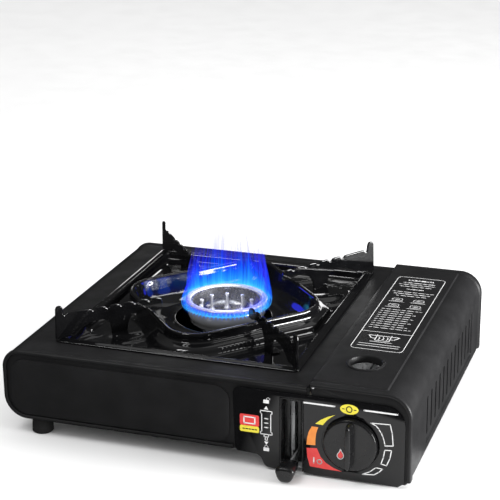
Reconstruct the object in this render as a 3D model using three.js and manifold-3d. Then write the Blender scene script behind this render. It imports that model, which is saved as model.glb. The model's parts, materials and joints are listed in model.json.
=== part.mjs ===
// Portable cartridge-fed camping stove: a sheet-metal case with one ring burner, an enamelled drip pan
// with four pan supports, and a covered gas-cartridge bay on its right side.
// Millimetres. In the case frame used below, x runs right from the left side, y runs back from the
// front edge and z runs up from the table. The finished group is moved so that its origin is the
// centre of the stove's base.
import * as THREE from "three";
import { mergeVertices } from "three/addons/utils/BufferGeometryUtils.js";
import Module from "manifold-3d";

const wasm = await Module();
wasm.setup();

// ---------------------------------------------------------------------------------- driving dimensions

const SHEET = 1.2; // sheet steel
const GAP = 0.3; // between pieces that touch
const HEM = 3.2; // rolled edge of the case and the lid
const HEM_DEPTH = 1.8;

const WIDTH = 343;
const DEPTH = 287;
const TOP = 74.5;
const FLOOR = 14; // underside of the burner side, on its tall feet
const TOP_RADIUS = 16;
const BOTTOM_RADIUS = 20;
const TOP_END = 259.9; // where the case top stops beside the lid
const FLOOR_END = 225;

const PANEL_FRONT = HEM_DEPTH + GAP;
const PANEL_BACK = PANEL_FRONT + SHEET;
const INNER_FRONT = PANEL_BACK + GAP;
const INNER_REAR = DEPTH - INNER_FRONT;

const BAY = { left: 258, floor: 4, right: 339.2, stepLeft: 200, stepRight: 226.5 };
const PARTITION_TOP = TOP - SHEET - GAP;

const LID = { left: 262.3, top: 78.3, radius: 20, bottom: 6 };
const HINGE = { x: 264.6, z: 74.6, pinRadius: 1 };
const VIEW_HOLE = { x: 293.5, y: 51.5, radius: 13, rimRadius: 15.4, rimTop: 79.4 };
const VENT = { count: 12, front: 67, rear: 240, bottom: 16, top: 49, width: 4 };

const PAN = { x: 140.6, y: 147.6, halfX: 105.2, halfY: 121.4, corner: 5 };
const PAN_EDGE_TOP = TOP + GAP + 1.3;
const PAN_THICKNESS = 1.3;
const PAN_HOLE = 42;
const RIM = { halfX: 83, halfY: 93, corner: 26, top: 84.5 };
const PAN_PLATE = 69;
const PAN_LEDGE = 75.4; // flat step round the outside of the bowl's rim
const PAN_WELL_FLOOR = 61.5;

const SUPPORT_THICKNESS = 2;
const SPIKE_TOP = 105;

const BURNER = { x: 143, y: 148.6, outer: 35.9, inner: 30.9, top: 81.7 };
const TUBE_Z = 47;

const KNOB = { x: 295.4, z: 32.1, radius: 21.8, back: 0.9, face: -2.9, grip: -10.2, recess: 23 };
const CARTRIDGE = { x: 302, z: 39.5, rear: 245 };

const LEVER = { x: 248.1, pivotY: 95, pivotZ: 12, thickness: 1.6 };
const LEVER_FRONT = -20;
const CHANNEL = { left: 238.6, right: 257.6, top: 64, bottom: 3, depth: 12 };

// ------------------------------------------------------------------------------------------ materials

function material(color, roughness, metalness) {
  return new THREE.MeshStandardMaterial({ color, roughness, metalness });
}

const powderCoat = material(0x2b2b2d, 0.55, 0.2);
const enamel = material(0x08080a, 0.08, 0.1);
const fasciaGloss = material(0x0d0d0f, 0.15, 0.0);
const blackPlastic = material(0x161618, 0.4, 0.0);
const rubber = material(0x141414, 0.85, 0.0);
const zincSteel = material(0x9a9ca0, 0.35, 0.9);
const brightSteel = material(0xd6d8dc, 0.2, 1.0);
const castAluminium = material(0xa9abaf, 0.5, 0.85);
const brass = material(0xc79a45, 0.3, 0.95);
const ceramic = material(0xf1eee6, 0.3, 0.0);
const wireInsulation = material(0xd8d2c4, 0.6, 0.0);

// ----------------------------------------------------------------------------------- geometry helpers

function solidOf(geometry) {
  const positions = geometry.index ? geometry.toNonIndexed() : geometry.clone();
  for (const name of Object.keys(positions.attributes)) {
    if (name !== "position") {
      positions.deleteAttribute(name);
    }
  }
  const merged = mergeVertices(positions, 1e-4);
  return new wasm.Manifold(
    new wasm.Mesh({
      numProp: 3,
      vertProperties: merged.attributes.position.array,
      triVerts: new Uint32Array(merged.index.array),
    }),
  );
}

function geometryOf(solid) {
  const mesh = solid.getMesh();
  const geometry = new THREE.BufferGeometry();
  geometry.setAttribute("position", new THREE.BufferAttribute(new Float32Array(mesh.vertProperties), 3));
  geometry.setIndex(new THREE.BufferAttribute(new Uint32Array(mesh.triVerts), 1));
  return geometry;
}

function join(...geometries) {
  const solids = geometries.map(solidOf);
  return geometryOf(solids.reduce((whole, next) => whole.add(next)));
}

function cut(geometry, ...tools) {
  const solids = tools.map(solidOf);
  return geometryOf(solids.reduce((whole, tool) => whole.subtract(tool), solidOf(geometry)));
}

function block(x0, x1, y0, y1, z0, z1) {
  const geometry = new THREE.BoxGeometry(x1 - x0, y1 - y0, z1 - z0);
  return geometry.translate((x0 + x1) / 2, (y0 + y1) / 2, (z0 + z1) / 2);
}

// A shape drawn in x and z, made solid from y0 back to y1.
function plateXZ(shape, y0, y1, curveSegments = 6) {
  const geometry = new THREE.ExtrudeGeometry(shape, { depth: y1 - y0, bevelEnabled: false, curveSegments });
  return geometry.rotateX(Math.PI / 2).translate(0, y1, 0);
}

// A shape drawn in y and z, made solid from x0 to x1.
function plateYZ(shape, x0, x1, curveSegments = 6) {
  const geometry = new THREE.ExtrudeGeometry(shape, { depth: x1 - x0, bevelEnabled: false, curveSegments });
  return geometry.rotateX(Math.PI / 2).rotateZ(Math.PI / 2).translate(x0, 0, 0);
}

function rodAlongY(x, z, radius, y0, y1, sides = 16) {
  return new THREE.CylinderGeometry(radius, radius, y1 - y0, sides).translate(x, (y0 + y1) / 2, z);
}

function rodAlongZ(x, y, radius, z0, z1, sides = 16) {
  const geometry = new THREE.CylinderGeometry(radius, radius, z1 - z0, sides);
  return geometry.rotateX(Math.PI / 2).translate(x, y, (z0 + z1) / 2);
}

function rodAlongX(y, z, radius, x0, x1, sides = 16) {
  const geometry = new THREE.CylinderGeometry(radius, radius, x1 - x0, sides);
  return geometry.rotateZ(Math.PI / 2).translate((x0 + x1) / 2, y, z);
}

// A profile of [radius, height] points turned about a vertical axis at x, y.
function turnedZ(profile, x, y, segments = 32) {
  const points = profile.map(([radius, height]) => new THREE.Vector2(radius, height));
  return new THREE.LatheGeometry(points, segments).rotateX(Math.PI / 2).translate(x, y, 0);
}

// A profile of [radius, depth] points turned about an axis that runs from front to back at x, z.
function turnedY(profile, x, z, segments = 32) {
  const points = profile.map(([radius, depth]) => new THREE.Vector2(radius, depth));
  return new THREE.LatheGeometry(points, segments).translate(x, 0, z);
}

function ringShape(outer, inner, sides) {
  const shape = new THREE.Shape();
  shape.absarc(0, 0, outer, 0, 2 * Math.PI, false);
  if (inner > 0) {
    const hole = new THREE.Path();
    hole.absarc(0, 0, inner, 0, 2 * Math.PI, true);
    shape.holes.push(hole);
  }
  shape.curveSegments = sides;
  return shape;
}

function tubeAlong(points, outer, inner, sides, steps) {
  const path = new THREE.CatmullRomCurve3(points.map((p) => new THREE.Vector3(...p)));
  return new THREE.ExtrudeGeometry(ringShape(outer, inner, sides), {
    extrudePath: path,
    steps,
    curveSegments: sides,
    bevelEnabled: false,
  });
}

function roundedRectangle(x0, x1, z0, z1, radius) {
  const shape = new THREE.Shape();
  shape.moveTo(x0 + radius, z0);
  shape.lineTo(x1 - radius, z0);
  shape.absarc(x1 - radius, z0 + radius, radius, -Math.PI / 2, 0, false);
  shape.absarc(x1 - radius, z1 - radius, radius, 0, Math.PI / 2, false);
  shape.absarc(x0 + radius, z1 - radius, radius, Math.PI / 2, Math.PI, false);
  shape.absarc(x0 + radius, z0 + radius, radius, Math.PI, 1.5 * Math.PI, false);
  return shape;
}

const stove = new THREE.Group();

function addPiece(parent, name, geometry, pieceMaterial) {
  const mesh = new THREE.Mesh(geometry, pieceMaterial);
  mesh.name = name;
  parent.add(mesh);
  return mesh;
}

// ---------------------------------------------------------------------------------------------- case

// The case's section: top, left side and floor in one bent sheet.
function wrapSection(thickness) {
  const shape = new THREE.Shape();
  const topCentre = TOP - TOP_RADIUS;
  const floorCentre = FLOOR + BOTTOM_RADIUS;
  shape.moveTo(TOP_END, TOP);
  shape.lineTo(TOP_RADIUS, TOP);
  shape.absarc(TOP_RADIUS, topCentre, TOP_RADIUS, Math.PI / 2, Math.PI, false);
  shape.absarc(BOTTOM_RADIUS, floorCentre, BOTTOM_RADIUS, Math.PI, 1.5 * Math.PI, false);
  shape.lineTo(FLOOR_END, FLOOR);
  shape.lineTo(FLOOR_END, FLOOR + thickness);
  shape.absarc(BOTTOM_RADIUS, floorCentre, BOTTOM_RADIUS - thickness, 1.5 * Math.PI, Math.PI, true);
  shape.absarc(TOP_RADIUS, topCentre, TOP_RADIUS - thickness, Math.PI, Math.PI / 2, true);
  shape.lineTo(TOP_END, TOP - thickness);
  return shape;
}

function makeHousingWrap() {
  const sheet = plateXZ(wrapSection(SHEET), 0, DEPTH);
  const frontHem = plateXZ(wrapSection(HEM), 0, HEM_DEPTH);
  const rearHem = plateXZ(wrapSection(HEM), DEPTH - HEM_DEPTH, DEPTH);
  const inset = 2.8;
  const panOpening = block(
    PAN.x - PAN.halfX + inset,
    PAN.x + PAN.halfX - inset,
    PAN.y - PAN.halfY + inset,
    PAN.y + PAN.halfY - inset,
    TOP - HEM,
    TOP + HEM,
  );
  const fasciaRoom = block(BAY.stepLeft - 0.5, FLOOR_END + 1, -1, PANEL_FRONT, FLOOR - 1, FLOOR + HEM + 1);
  return cut(join(sheet, frontHem, rearHem), panOpening, fasciaRoom);
}

// Front and rear panels share one outline: the case's inside on the left, the lid's inside on the
// right, and a lobe on top that holds the lid's hinge pin.
function panelOutline() {
  const shape = new THREE.Shape();
  const inset = SHEET + GAP;
  const lidInset = SHEET + 0.4;
  const topCentre = TOP - TOP_RADIUS;
  const floorCentre = FLOOR + BOTTOM_RADIUS;
  const lidCentreX = WIDTH - LID.radius;
  const lidCentreZ = LID.top - LID.radius;
  const lobe = 2.1;
  const notchBottom = 68;
  shape.moveTo(TOP_END, TOP - inset);
  shape.lineTo(TOP_RADIUS, TOP - inset);
  shape.absarc(TOP_RADIUS, topCentre, TOP_RADIUS - inset, Math.PI / 2, Math.PI, false);
  shape.absarc(BOTTOM_RADIUS, floorCentre, BOTTOM_RADIUS - inset, Math.PI, 1.5 * Math.PI, false);
  shape.lineTo(BAY.stepRight, FLOOR + inset);
  shape.lineTo(BAY.stepRight, BAY.floor - 1);
  shape.lineTo(WIDTH - lidInset - 3, BAY.floor - 1);
  shape.lineTo(WIDTH - lidInset, BAY.floor + 2);
  shape.absarc(lidCentreX, lidCentreZ, LID.radius - lidInset, 0, Math.PI / 2, false);
  shape.absarc(HINGE.x, HINGE.z, lobe, Math.PI / 2, (7 / 6) * Math.PI, false);
  shape.lineTo(HINGE.x - lobe / 2, HINGE.z - 3);
  shape.lineTo(HINGE.x - lobe / 2, notchBottom);
  shape.lineTo(TOP_END, notchBottom);
  return shape;
}

const hingePinHoles = (y0, y1) => rodAlongY(HINGE.x, HINGE.z, HINGE.pinRadius + GAP, y0, y1, 12);

function makeFrontPanel() {
  const sheet = plateXZ(panelOutline(), PANEL_FRONT, PANEL_BACK);
  const field = plateXZ(roundedRectangle(7.6, 197, 18.5, 66.7, 13), 0.5, PANEL_BACK);
  const clearance = GAP;
  return cut(
    join(sheet, field),
    hingePinHoles(0, 5),
    rodAlongY(KNOB.x, KNOB.z, 5, 0, 5),
    block(CHANNEL.left - clearance, CHANNEL.right + clearance, 0, 5, 0, CHANNEL.top + clearance),
  );
}

function makeRearPanel() {
  const y0 = DEPTH - PANEL_BACK;
  const y1 = DEPTH - PANEL_FRONT;
  const sheet = plateXZ(panelOutline(), y0, y1);
  const screwHoles = REAR_SCREWS.map(([x, z]) => rodAlongY(x, z, 1.8, y0 - 1, y1 + 1, 12));
  const vents = [];
  for (let i = 0; i < 8; i++) {
    const x = 90 + 14 * i;
    vents.push(block(x, x + 5, y0 - 1, y1 + 1, 30, 58));
  }
  return cut(sheet, hingePinHoles(y0 - 1, y1 + 1), ...screwHoles, ...vents);
}

const REAR_SCREWS = [
  [24, 62],
  [24, 28],
  [240, 62],
  [240, 22],
];

function makeBayTray() {
  const shape = new THREE.Shape();
  const flange = FLOOR - GAP;
  const floor = BAY.floor;
  shape.moveTo(BAY.stepLeft, flange);
  shape.lineTo(BAY.stepLeft, flange - SHEET);
  shape.lineTo(BAY.stepRight - 5, flange - SHEET);
  shape.lineTo(BAY.stepRight, floor);
  shape.lineTo(BAY.right, floor);
  shape.lineTo(BAY.right, floor + 10);
  shape.lineTo(BAY.right - SHEET, floor + 10);
  shape.lineTo(BAY.right - SHEET, floor + SHEET);
  shape.lineTo(BAY.stepRight + 1, floor + SHEET);
  shape.lineTo(BAY.stepRight - 4, flange);
  return plateXZ(shape, INNER_FRONT, INNER_REAR);
}

function makeBayPartition() {
  const x0 = BAY.left;
  const x1 = BAY.left + SHEET;
  const sheet = block(x0, x1, INNER_FRONT, INNER_REAR, BAY.floor + SHEET + GAP, PARTITION_TOP);
  const tubeWindow = block(x0 - 1, x1 + 1, 27, 55, TUBE_Z - 10, TUBE_Z + 10);
  const linkWindow = block(x0 - 1, x1 + 1, 80, 112, 0, 20);
  const leadHole = rodAlongX(15, 64, 3, x0 - 1, x1 + 1, 10);
  return cut(sheet, tubeWindow, linkWindow, leadHole);
}

function makeFoot(height, radius) {
  const profile = [
    [0, 0],
    [radius - 1, 0],
    [radius, 1],
    [radius * 0.94, height],
    [0, height],
  ];
  return turnedZ(profile, 0, 0, 20);
}

function makeControlFascia() {
  const shape = new THREE.Shape();
  const left = 200;
  const right = 338;
  const top = 68;
  const cornerRight = 16;
  shape.moveTo(left + 6, top);
  shape.absarc(left + 6, top - 6, 6, Math.PI / 2, Math.PI, false);
  shape.lineTo(left + 1.5, 16);
  shape.lineTo(left + 3.5, 13.4);
  shape.lineTo(219, 12.6);
  shape.quadraticCurveTo(223, 12, 224.5, 7);
  shape.quadraticCurveTo(226, 2.6, 230, 2.4);
  shape.lineTo(right - 5, 1.2);
  shape.lineTo(right, 5);
  shape.absarc(right - cornerRight, top - cornerRight, cornerRight, 0, Math.PI / 2, false);
  const plate = plateXZ(shape, GAP, HEM_DEPTH);
  return cut(
    plate,
    rodAlongY(KNOB.x, KNOB.z, KNOB.recess, -1, KNOB.back + GAP, 48),
    rodAlongY(KNOB.x, KNOB.z, 5, -1, 3),
    block(CHANNEL.left - GAP, CHANNEL.right + GAP, -1, 3, 0, CHANNEL.top + GAP),
  );
}

// The channel that the locking lever runs in: two sides, a top and a slotted back.
function makeLeverGuide() {
  const wall = 1;
  const outer = block(CHANNEL.left, CHANNEL.right, 0, CHANNEL.depth, CHANNEL.bottom, CHANNEL.top);
  const inside = block(
    CHANNEL.left + wall,
    CHANNEL.right - wall,
    -1,
    CHANNEL.depth - wall,
    CHANNEL.bottom - 1,
    CHANNEL.top - wall,
  );
  const slot = block(LEVER.x - 4.4, LEVER.x + 2, 0, CHANNEL.depth + 1, CHANNEL.bottom + 2, 57);
  const trayRoom = block(CHANNEL.left - 1, CHANNEL.right + 1, PANEL_BACK, 20, 0, BAY.floor + SHEET + GAP);
  return cut(outer, inside, slot, trayRoom);
}

const body = new THREE.Group();
stove.add(body);
addPiece(body, "housing_wrap", makeHousingWrap(), powderCoat);
addPiece(body, "front_panel", makeFrontPanel(), powderCoat);
addPiece(body, "rear_panel", makeRearPanel(), powderCoat);
addPiece(body, "bay_tray", makeBayTray(), zincSteel);
addPiece(body, "bay_partition", makeBayPartition(), zincSteel);
addPiece(body, "control_fascia", makeControlFascia(), fasciaGloss);
addPiece(body, "lever_guide", makeLeverGuide(), blackPlastic);

const FEET = [
  { name: "foot_front_left", x: 28.3, y: 12, height: FLOOR - GAP, radius: 9 },
  { name: "foot_rear_left", x: 28.3, y: DEPTH - 14, height: FLOOR - GAP, radius: 9 },
  { name: "foot_front_right", x: 314, y: 16, height: BAY.floor - GAP, radius: 8 },
  { name: "foot_rear_right", x: 314, y: DEPTH - 16, height: BAY.floor - GAP, radius: 8 },
];
for (const foot of FEET) {
  const mesh = addPiece(body, foot.name, makeFoot(foot.height, foot.radius), rubber);
  mesh.position.set(foot.x, foot.y, 0);
}

// Round-headed screw along y, its head at the back.
function makeRearScrew() {
  const tip = -6;
  const profile = [
    [0, tip],
    [1.4, tip],
    [1.4, GAP],
    [3.4, GAP],
    [3.0, 1.2],
    [1.6, 1.8],
    [0, 1.9],
  ];
  return turnedY(profile, 0, 0, 12);
}

REAR_SCREWS.forEach(([x, z], i) => {
  const mesh = addPiece(body, `rear_screw_${i + 1}`, makeRearScrew(), zincSteel);
  mesh.position.set(x, DEPTH - PANEL_FRONT, z);
});

// -------------------------------------------------------------------------------------------- burner

function makeBurnerCasting() {
  const profile = [
    [0, 38],
    [19, 38],
    [22, 41],
    [22, 54],
    [33, 66],
    [34.2, 70],
    [34.2, 76.4],
    [32, 76.4],
    [32, 61],
    [0, 61],
  ];
  return turnedZ(profile, BURNER.x, BURNER.y, 32);
}

function makeFlameRing() {
  const profile = [
    [BURNER.inner, BURNER.top - 4.5],
    [34.6, BURNER.top - 5],
    [34.6, BURNER.top - 1.8],
    [BURNER.outer, BURNER.top - 1.6],
    [BURNER.outer, BURNER.top - 0.7],
    [BURNER.outer - 0.9, BURNER.top],
    [BURNER.inner, BURNER.top],
    [BURNER.inner, BURNER.top - 4.5],
  ];
  return turnedZ(profile, BURNER.x, BURNER.y, 40);
}

// Pressed cup inside the ring, with upright jets around its floor.
function makeInnerCup() {
  const outer = BURNER.inner - GAP;
  const profile = [
    [0, 61.3],
    [24, 61.3],
    [29, 65],
    [outer, 70],
    [outer, 80],
    [outer - 1, 80],
    [outer - 1, 70.6],
    [28, 66],
    [23.5, 62.6],
    [0, 62.6],
  ];
  const jetCount = 10;
  const jetCircle = 23;
  const jets = [];
  for (let i = 0; i < jetCount; i++) {
    const angle = (2 * Math.PI * i) / jetCount;
    const x = BURNER.x + jetCircle * Math.cos(angle);
    const y = BURNER.y + jetCircle * Math.sin(angle);
    jets.push(rodAlongZ(x, y, 1.5, 62, 76, 6));
  }
  const cup = join(turnedZ(profile, BURNER.x, BURNER.y, 28), ...jets);
  return cut(cup, rodAlongZ(BURNER.x, BURNER.y, 2.6, 60, 64, 12));
}

function makeBurnerScrew() {
  const profile = [
    [0, 61.3],
    [2.2, 61.3],
    [2.2, 62.9],
    [4.5, 62.9],
    [4.5, 65.2],
    [3.2, 66.4],
    [0, 66.4],
  ];
  return turnedZ(profile, BURNER.x, BURNER.y, 12);
}

function makeBurnerBracket() {
  const shape = new THREE.Shape();
  const foot = FLOOR + SHEET + GAP;
  const top = 38 - GAP;
  const reach = 46;
  const half = 26;
  const edge = [
    [-reach, foot],
    [-half, foot],
    [-half, top - SHEET],
    [half, top - SHEET],
    [half, foot],
    [reach, foot],
    [reach, foot + SHEET],
    [half + SHEET, foot + SHEET],
    [half + SHEET, top],
    [-half - SHEET, top],
    [-half - SHEET, foot + SHEET],
    [-reach, foot + SHEET],
  ];
  edge.forEach(([x, z], i) => {
    if (i === 0) {
      shape.moveTo(BURNER.x + x, z);
    } else {
      shape.lineTo(BURNER.x + x, z);
    }
  });
  return plateXZ(shape, BURNER.y - 14, BURNER.y + 14);
}

const MIXING_TUBE_ROUTE = [
  [266, 37, TUBE_Z],
  [247, 42, TUBE_Z],
  [215, 75, TUBE_Z],
  [182, 110, TUBE_Z],
  [160, 132.2, TUBE_Z],
];

addPiece(body, "burner_casting", makeBurnerCasting(), castAluminium);
addPiece(body, "burner_flame_ring", makeFlameRing(), brightSteel);
addPiece(body, "burner_inner_cup", makeInnerCup(), zincSteel);
addPiece(body, "burner_screw", makeBurnerScrew(), brass);
addPiece(body, "burner_bracket", makeBurnerBracket(), zincSteel);
addPiece(body, "mixing_tube", tubeAlong(MIXING_TUBE_ROUTE, 7, 5.8, 6, 8), zincSteel);

// --------------------------------------------------------------------------------- valve and ignition

function makeRegulatorBody() {
  const valve = rodAlongY(KNOB.x, KNOB.z, 12, 11.8, 32, 20);
  const chamber = rodAlongY(CARTRIDGE.x - 2, CARTRIDGE.z - 2, 19, 26, 42, 24);
  const outlet = rodAlongX(37, TUBE_Z, 4.5, 276, 296, 12);
  const inletHole = rodAlongY(CARTRIDGE.x, CARTRIDGE.z, 5, 38, 60, 12);
  const stemHole = rodAlongY(KNOB.x, KNOB.z, 3.3, 5, 18, 12);
  return cut(join(valve, chamber, outlet), inletHole, stemHole);
}

function makeRegulatorCap() {
  const profile = [
    [5.4, 42.3],
    [19, 42.3],
    [19, 45],
    [10, 48],
    [9, 56.5],
    [5.4, 56.5],
    [5.4, 42.3],
  ];
  const bolts = [];
  for (let i = 0; i < 4; i++) {
    const angle = Math.PI / 4 + (i * Math.PI) / 2;
    const x = CARTRIDGE.x - 2 + 15 * Math.cos(angle);
    const z = CARTRIDGE.z - 2 + 15 * Math.sin(angle);
    bolts.push(rodAlongY(x, z, 2, 43, 46.8, 6));
  }
  const cap = turnedY(profile, CARTRIDGE.x, CARTRIDGE.z, 24);
  return join(cap, ...bolts);
}

function makeInletSeal() {
  const profile = [
    [3, 52],
    [5.1, 52],
    [5.1, 56],
    [3, 56],
    [3, 52],
  ];
  return turnedY(profile, CARTRIDGE.x, CARTRIDGE.z, 16);
}

function makeRegulatorBracket() {
  const plate = block(283, 315, 10.2, 11.4, 12, 52);
  const foot = block(283, 315, INNER_FRONT, 10.6, 12, 13.2);
  const side = block(313.8, 315, INNER_FRONT, 10.6, 12, 52);
  return cut(join(plate, foot, side), rodAlongY(KNOB.x, KNOB.z, 5, 8, 14, 16));
}

function makeGasNozzle() {
  const profile = [
    [0, 0],
    [1.2, 0],
    [2.4, 4],
    [4.2, 4],
    [4.2, 8],
    [0, 8],
  ];
  const points = profile.map(([radius, along]) => new THREE.Vector2(radius, along));
  return new THREE.LatheGeometry(points, 6).rotateZ(-Math.PI / 2).translate(267.6, 37, TUBE_Z);
}

const CAM_LOBE = 11; // reach of the knob's cam, which trips the igniter

function makePiezoIgniter() {
  const centreY = INNER_FRONT + 4.3;
  const barrel = rodAlongX(centreY, KNOB.z, 4, 262, 279, 12);
  const plunger = rodAlongX(centreY, KNOB.z, 1.8, 278, KNOB.x - CAM_LOBE - 0.4, 10);
  return join(barrel, plunger);
}

const ELECTRODE_ANGLE = -0.35;
const ELECTRODE_CIRCLE = 38.2;
const ELECTRODE = {
  x: BURNER.x + ELECTRODE_CIRCLE * Math.cos(ELECTRODE_ANGLE),
  y: BURNER.y + ELECTRODE_CIRCLE * Math.sin(ELECTRODE_ANGLE),
};

function makeElectrodeInsulator() {
  const profile = [
    [0, 44],
    [1.5, 44],
    [1.5, 58],
    [1.7, 59],
    [1.7, 72],
    [0, 72],
  ];
  return turnedZ(profile, ELECTRODE.x, ELECTRODE.y, 10);
}

function makeElectrodePin() {
  return rodAlongZ(ELECTRODE.x, ELECTRODE.y, 0.6, 72.3, 79.6, 8);
}

const IGNITION_LEAD_ROUTE = [
  [ELECTRODE.x, ELECTRODE.y, 43.5],
  [ELECTRODE.x, ELECTRODE.y - 0.5, 32],
  [ELECTRODE.x + 2, ELECTRODE.y - 8, 21],
  [187, 104, 17.5],
  [205, 60, 17.5],
  [218, 30, 17.5],
  [231, 22, 24],
  [237, 20, 42],
  [240, 19, 60],
  [250, 17, 67],
  [258.6, 15, 64],
  [265, 12, 56],
  [270, 8.5, 45],
  [270.5, 7.9, KNOB.z + 4.5],
];

addPiece(body, "regulator_body", makeRegulatorBody(), castAluminium);
addPiece(body, "regulator_cap", makeRegulatorCap(), castAluminium);
addPiece(body, "inlet_seal", makeInletSeal(), rubber);
addPiece(body, "regulator_bracket", makeRegulatorBracket(), zincSteel);
addPiece(body, "gas_nozzle", makeGasNozzle(), brass);
addPiece(body, "piezo_igniter", makePiezoIgniter(), blackPlastic);
addPiece(body, "electrode_insulator", makeElectrodeInsulator(), ceramic);
addPiece(body, "electrode_pin", makeElectrodePin(), brightSteel);

// ------------------------------------------------------------------------- cartridge bay and hinge pins

// Upright plate with the cradle that the cartridge's neck drops into.
function makeCartridgeGuide() {
  const plate = block(264, 335, 57.8, 59, BAY.floor + SHEET + GAP, 44);
  const neck = rodAlongY(CARTRIDGE.x, CARTRIDGE.z, 17, 56, 61, 24);
  const mouth = block(CARTRIDGE.x - 17, CARTRIDGE.x + 17, 56, 61, CARTRIDGE.z, 50);
  const foot = block(264, 335, 50, 59, BAY.floor + SHEET + GAP, BAY.floor + 2 * SHEET + GAP);
  return join(cut(plate, neck, mouth), foot);
}

function makeLeverBracket() {
  const shape = new THREE.Shape();
  const low = BAY.floor + SHEET + GAP;
  shape.moveTo(13, low);
  shape.lineTo(106, low);
  shape.lineTo(106, 24);
  shape.lineTo(34, 24);
  shape.lineTo(30, 34);
  shape.lineTo(30, 58);
  shape.lineTo(13, 58);
  const plate = plateYZ(shape, 244.2, 245.4);
  const foot = block(232, 245, 13, 106, low, low + SHEET);
  const guideStrip = block(243.7, 246.9, 13, 14.2, 14, 58);
  return cut(join(plate, foot, guideStrip), rodAlongX(LEVER.pivotY, LEVER.pivotZ, 2.3, 240, 250, 12));
}

function makeHingePin() {
  const profile = [
    [0, 0],
    [HINGE.pinRadius, 0],
    [HINGE.pinRadius, 4],
    [2, 4],
    [2, 5],
    [0, 5],
  ];
  return turnedY(profile, 0, 0, 12);
}

addPiece(body, "cartridge_guide", makeCartridgeGuide(), zincSteel);
addPiece(body, "lever_bracket", makeLeverBracket(), zincSteel);
addPiece(body, "lever_pivot_pin", rodAlongX(LEVER.pivotY, LEVER.pivotZ, 2, 243, 251.5, 12), brightSteel);
const frontPin = addPiece(body, "hinge_pin_front", makeHingePin(), brightSteel);
frontPin.position.set(HINGE.x, PANEL_FRONT, HINGE.z);
const rearPin = addPiece(body, "hinge_pin_rear", makeHingePin(), brightSteel);
rearPin.rotation.z = Math.PI;
rearPin.position.set(HINGE.x, DEPTH - PANEL_FRONT, HINGE.z);

// ------------------------------------------------------------------------------------------- drip pan

// Distance from the centre of a rounded rectangle to its edge in one direction.
function roundedRectRadius(angle, halfX, halfY, corner) {
  const c = Math.abs(Math.cos(angle));
  const s = Math.abs(Math.sin(angle));
  const straight = Math.min(halfX / Math.max(c, 1e-9), halfY / Math.max(s, 1e-9));
  const cx = halfX - corner;
  const cy = halfY - corner;
  if (straight * c <= cx || straight * s <= cy) {
    return straight;
  }
  const along = c * cx + s * cy;
  return along + Math.sqrt(along * along - cx * cx - cy * cy + corner * corner);
}

// The same for a rounded diamond, whose points lie on the x and y axes.
function diamondRadius(angle, halfX, halfY, corner) {
  const stretch = halfY / halfX;
  const flat = Math.atan2(Math.sin(angle) / stretch, Math.cos(angle));
  const half = (halfX + corner * (Math.SQRT2 - 1)) / Math.SQRT2;
  const radius = roundedRectRadius(flat + Math.PI / 4, half, half, corner);
  return Math.hypot(radius * Math.cos(flat), radius * Math.sin(flat) * stretch);
}

// Directions round the pan, closer together at its corners and at the diamond's points.
function panDirections() {
  const cornerAngle = Math.atan2(PAN.halfY, PAN.halfX);
  const steps = 7;
  const bunching = 0.1;
  const directions = [];
  for (let quarter = 0; quarter < 4; quarter++) {
    const first = quarter % 2 === 0 ? cornerAngle : Math.PI / 2 - cornerAngle;
    const spans = [
      [0, first],
      [first, Math.PI / 2],
    ];
    for (const [from, to] of spans) {
      for (let i = 0; i < steps; i++) {
        const t = i / steps;
        const eased = t - bunching * Math.sin(2 * Math.PI * t);
        directions.push((quarter * Math.PI) / 2 + from + (to - from) * eased);
      }
    }
  }
  return directions;
}

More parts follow.
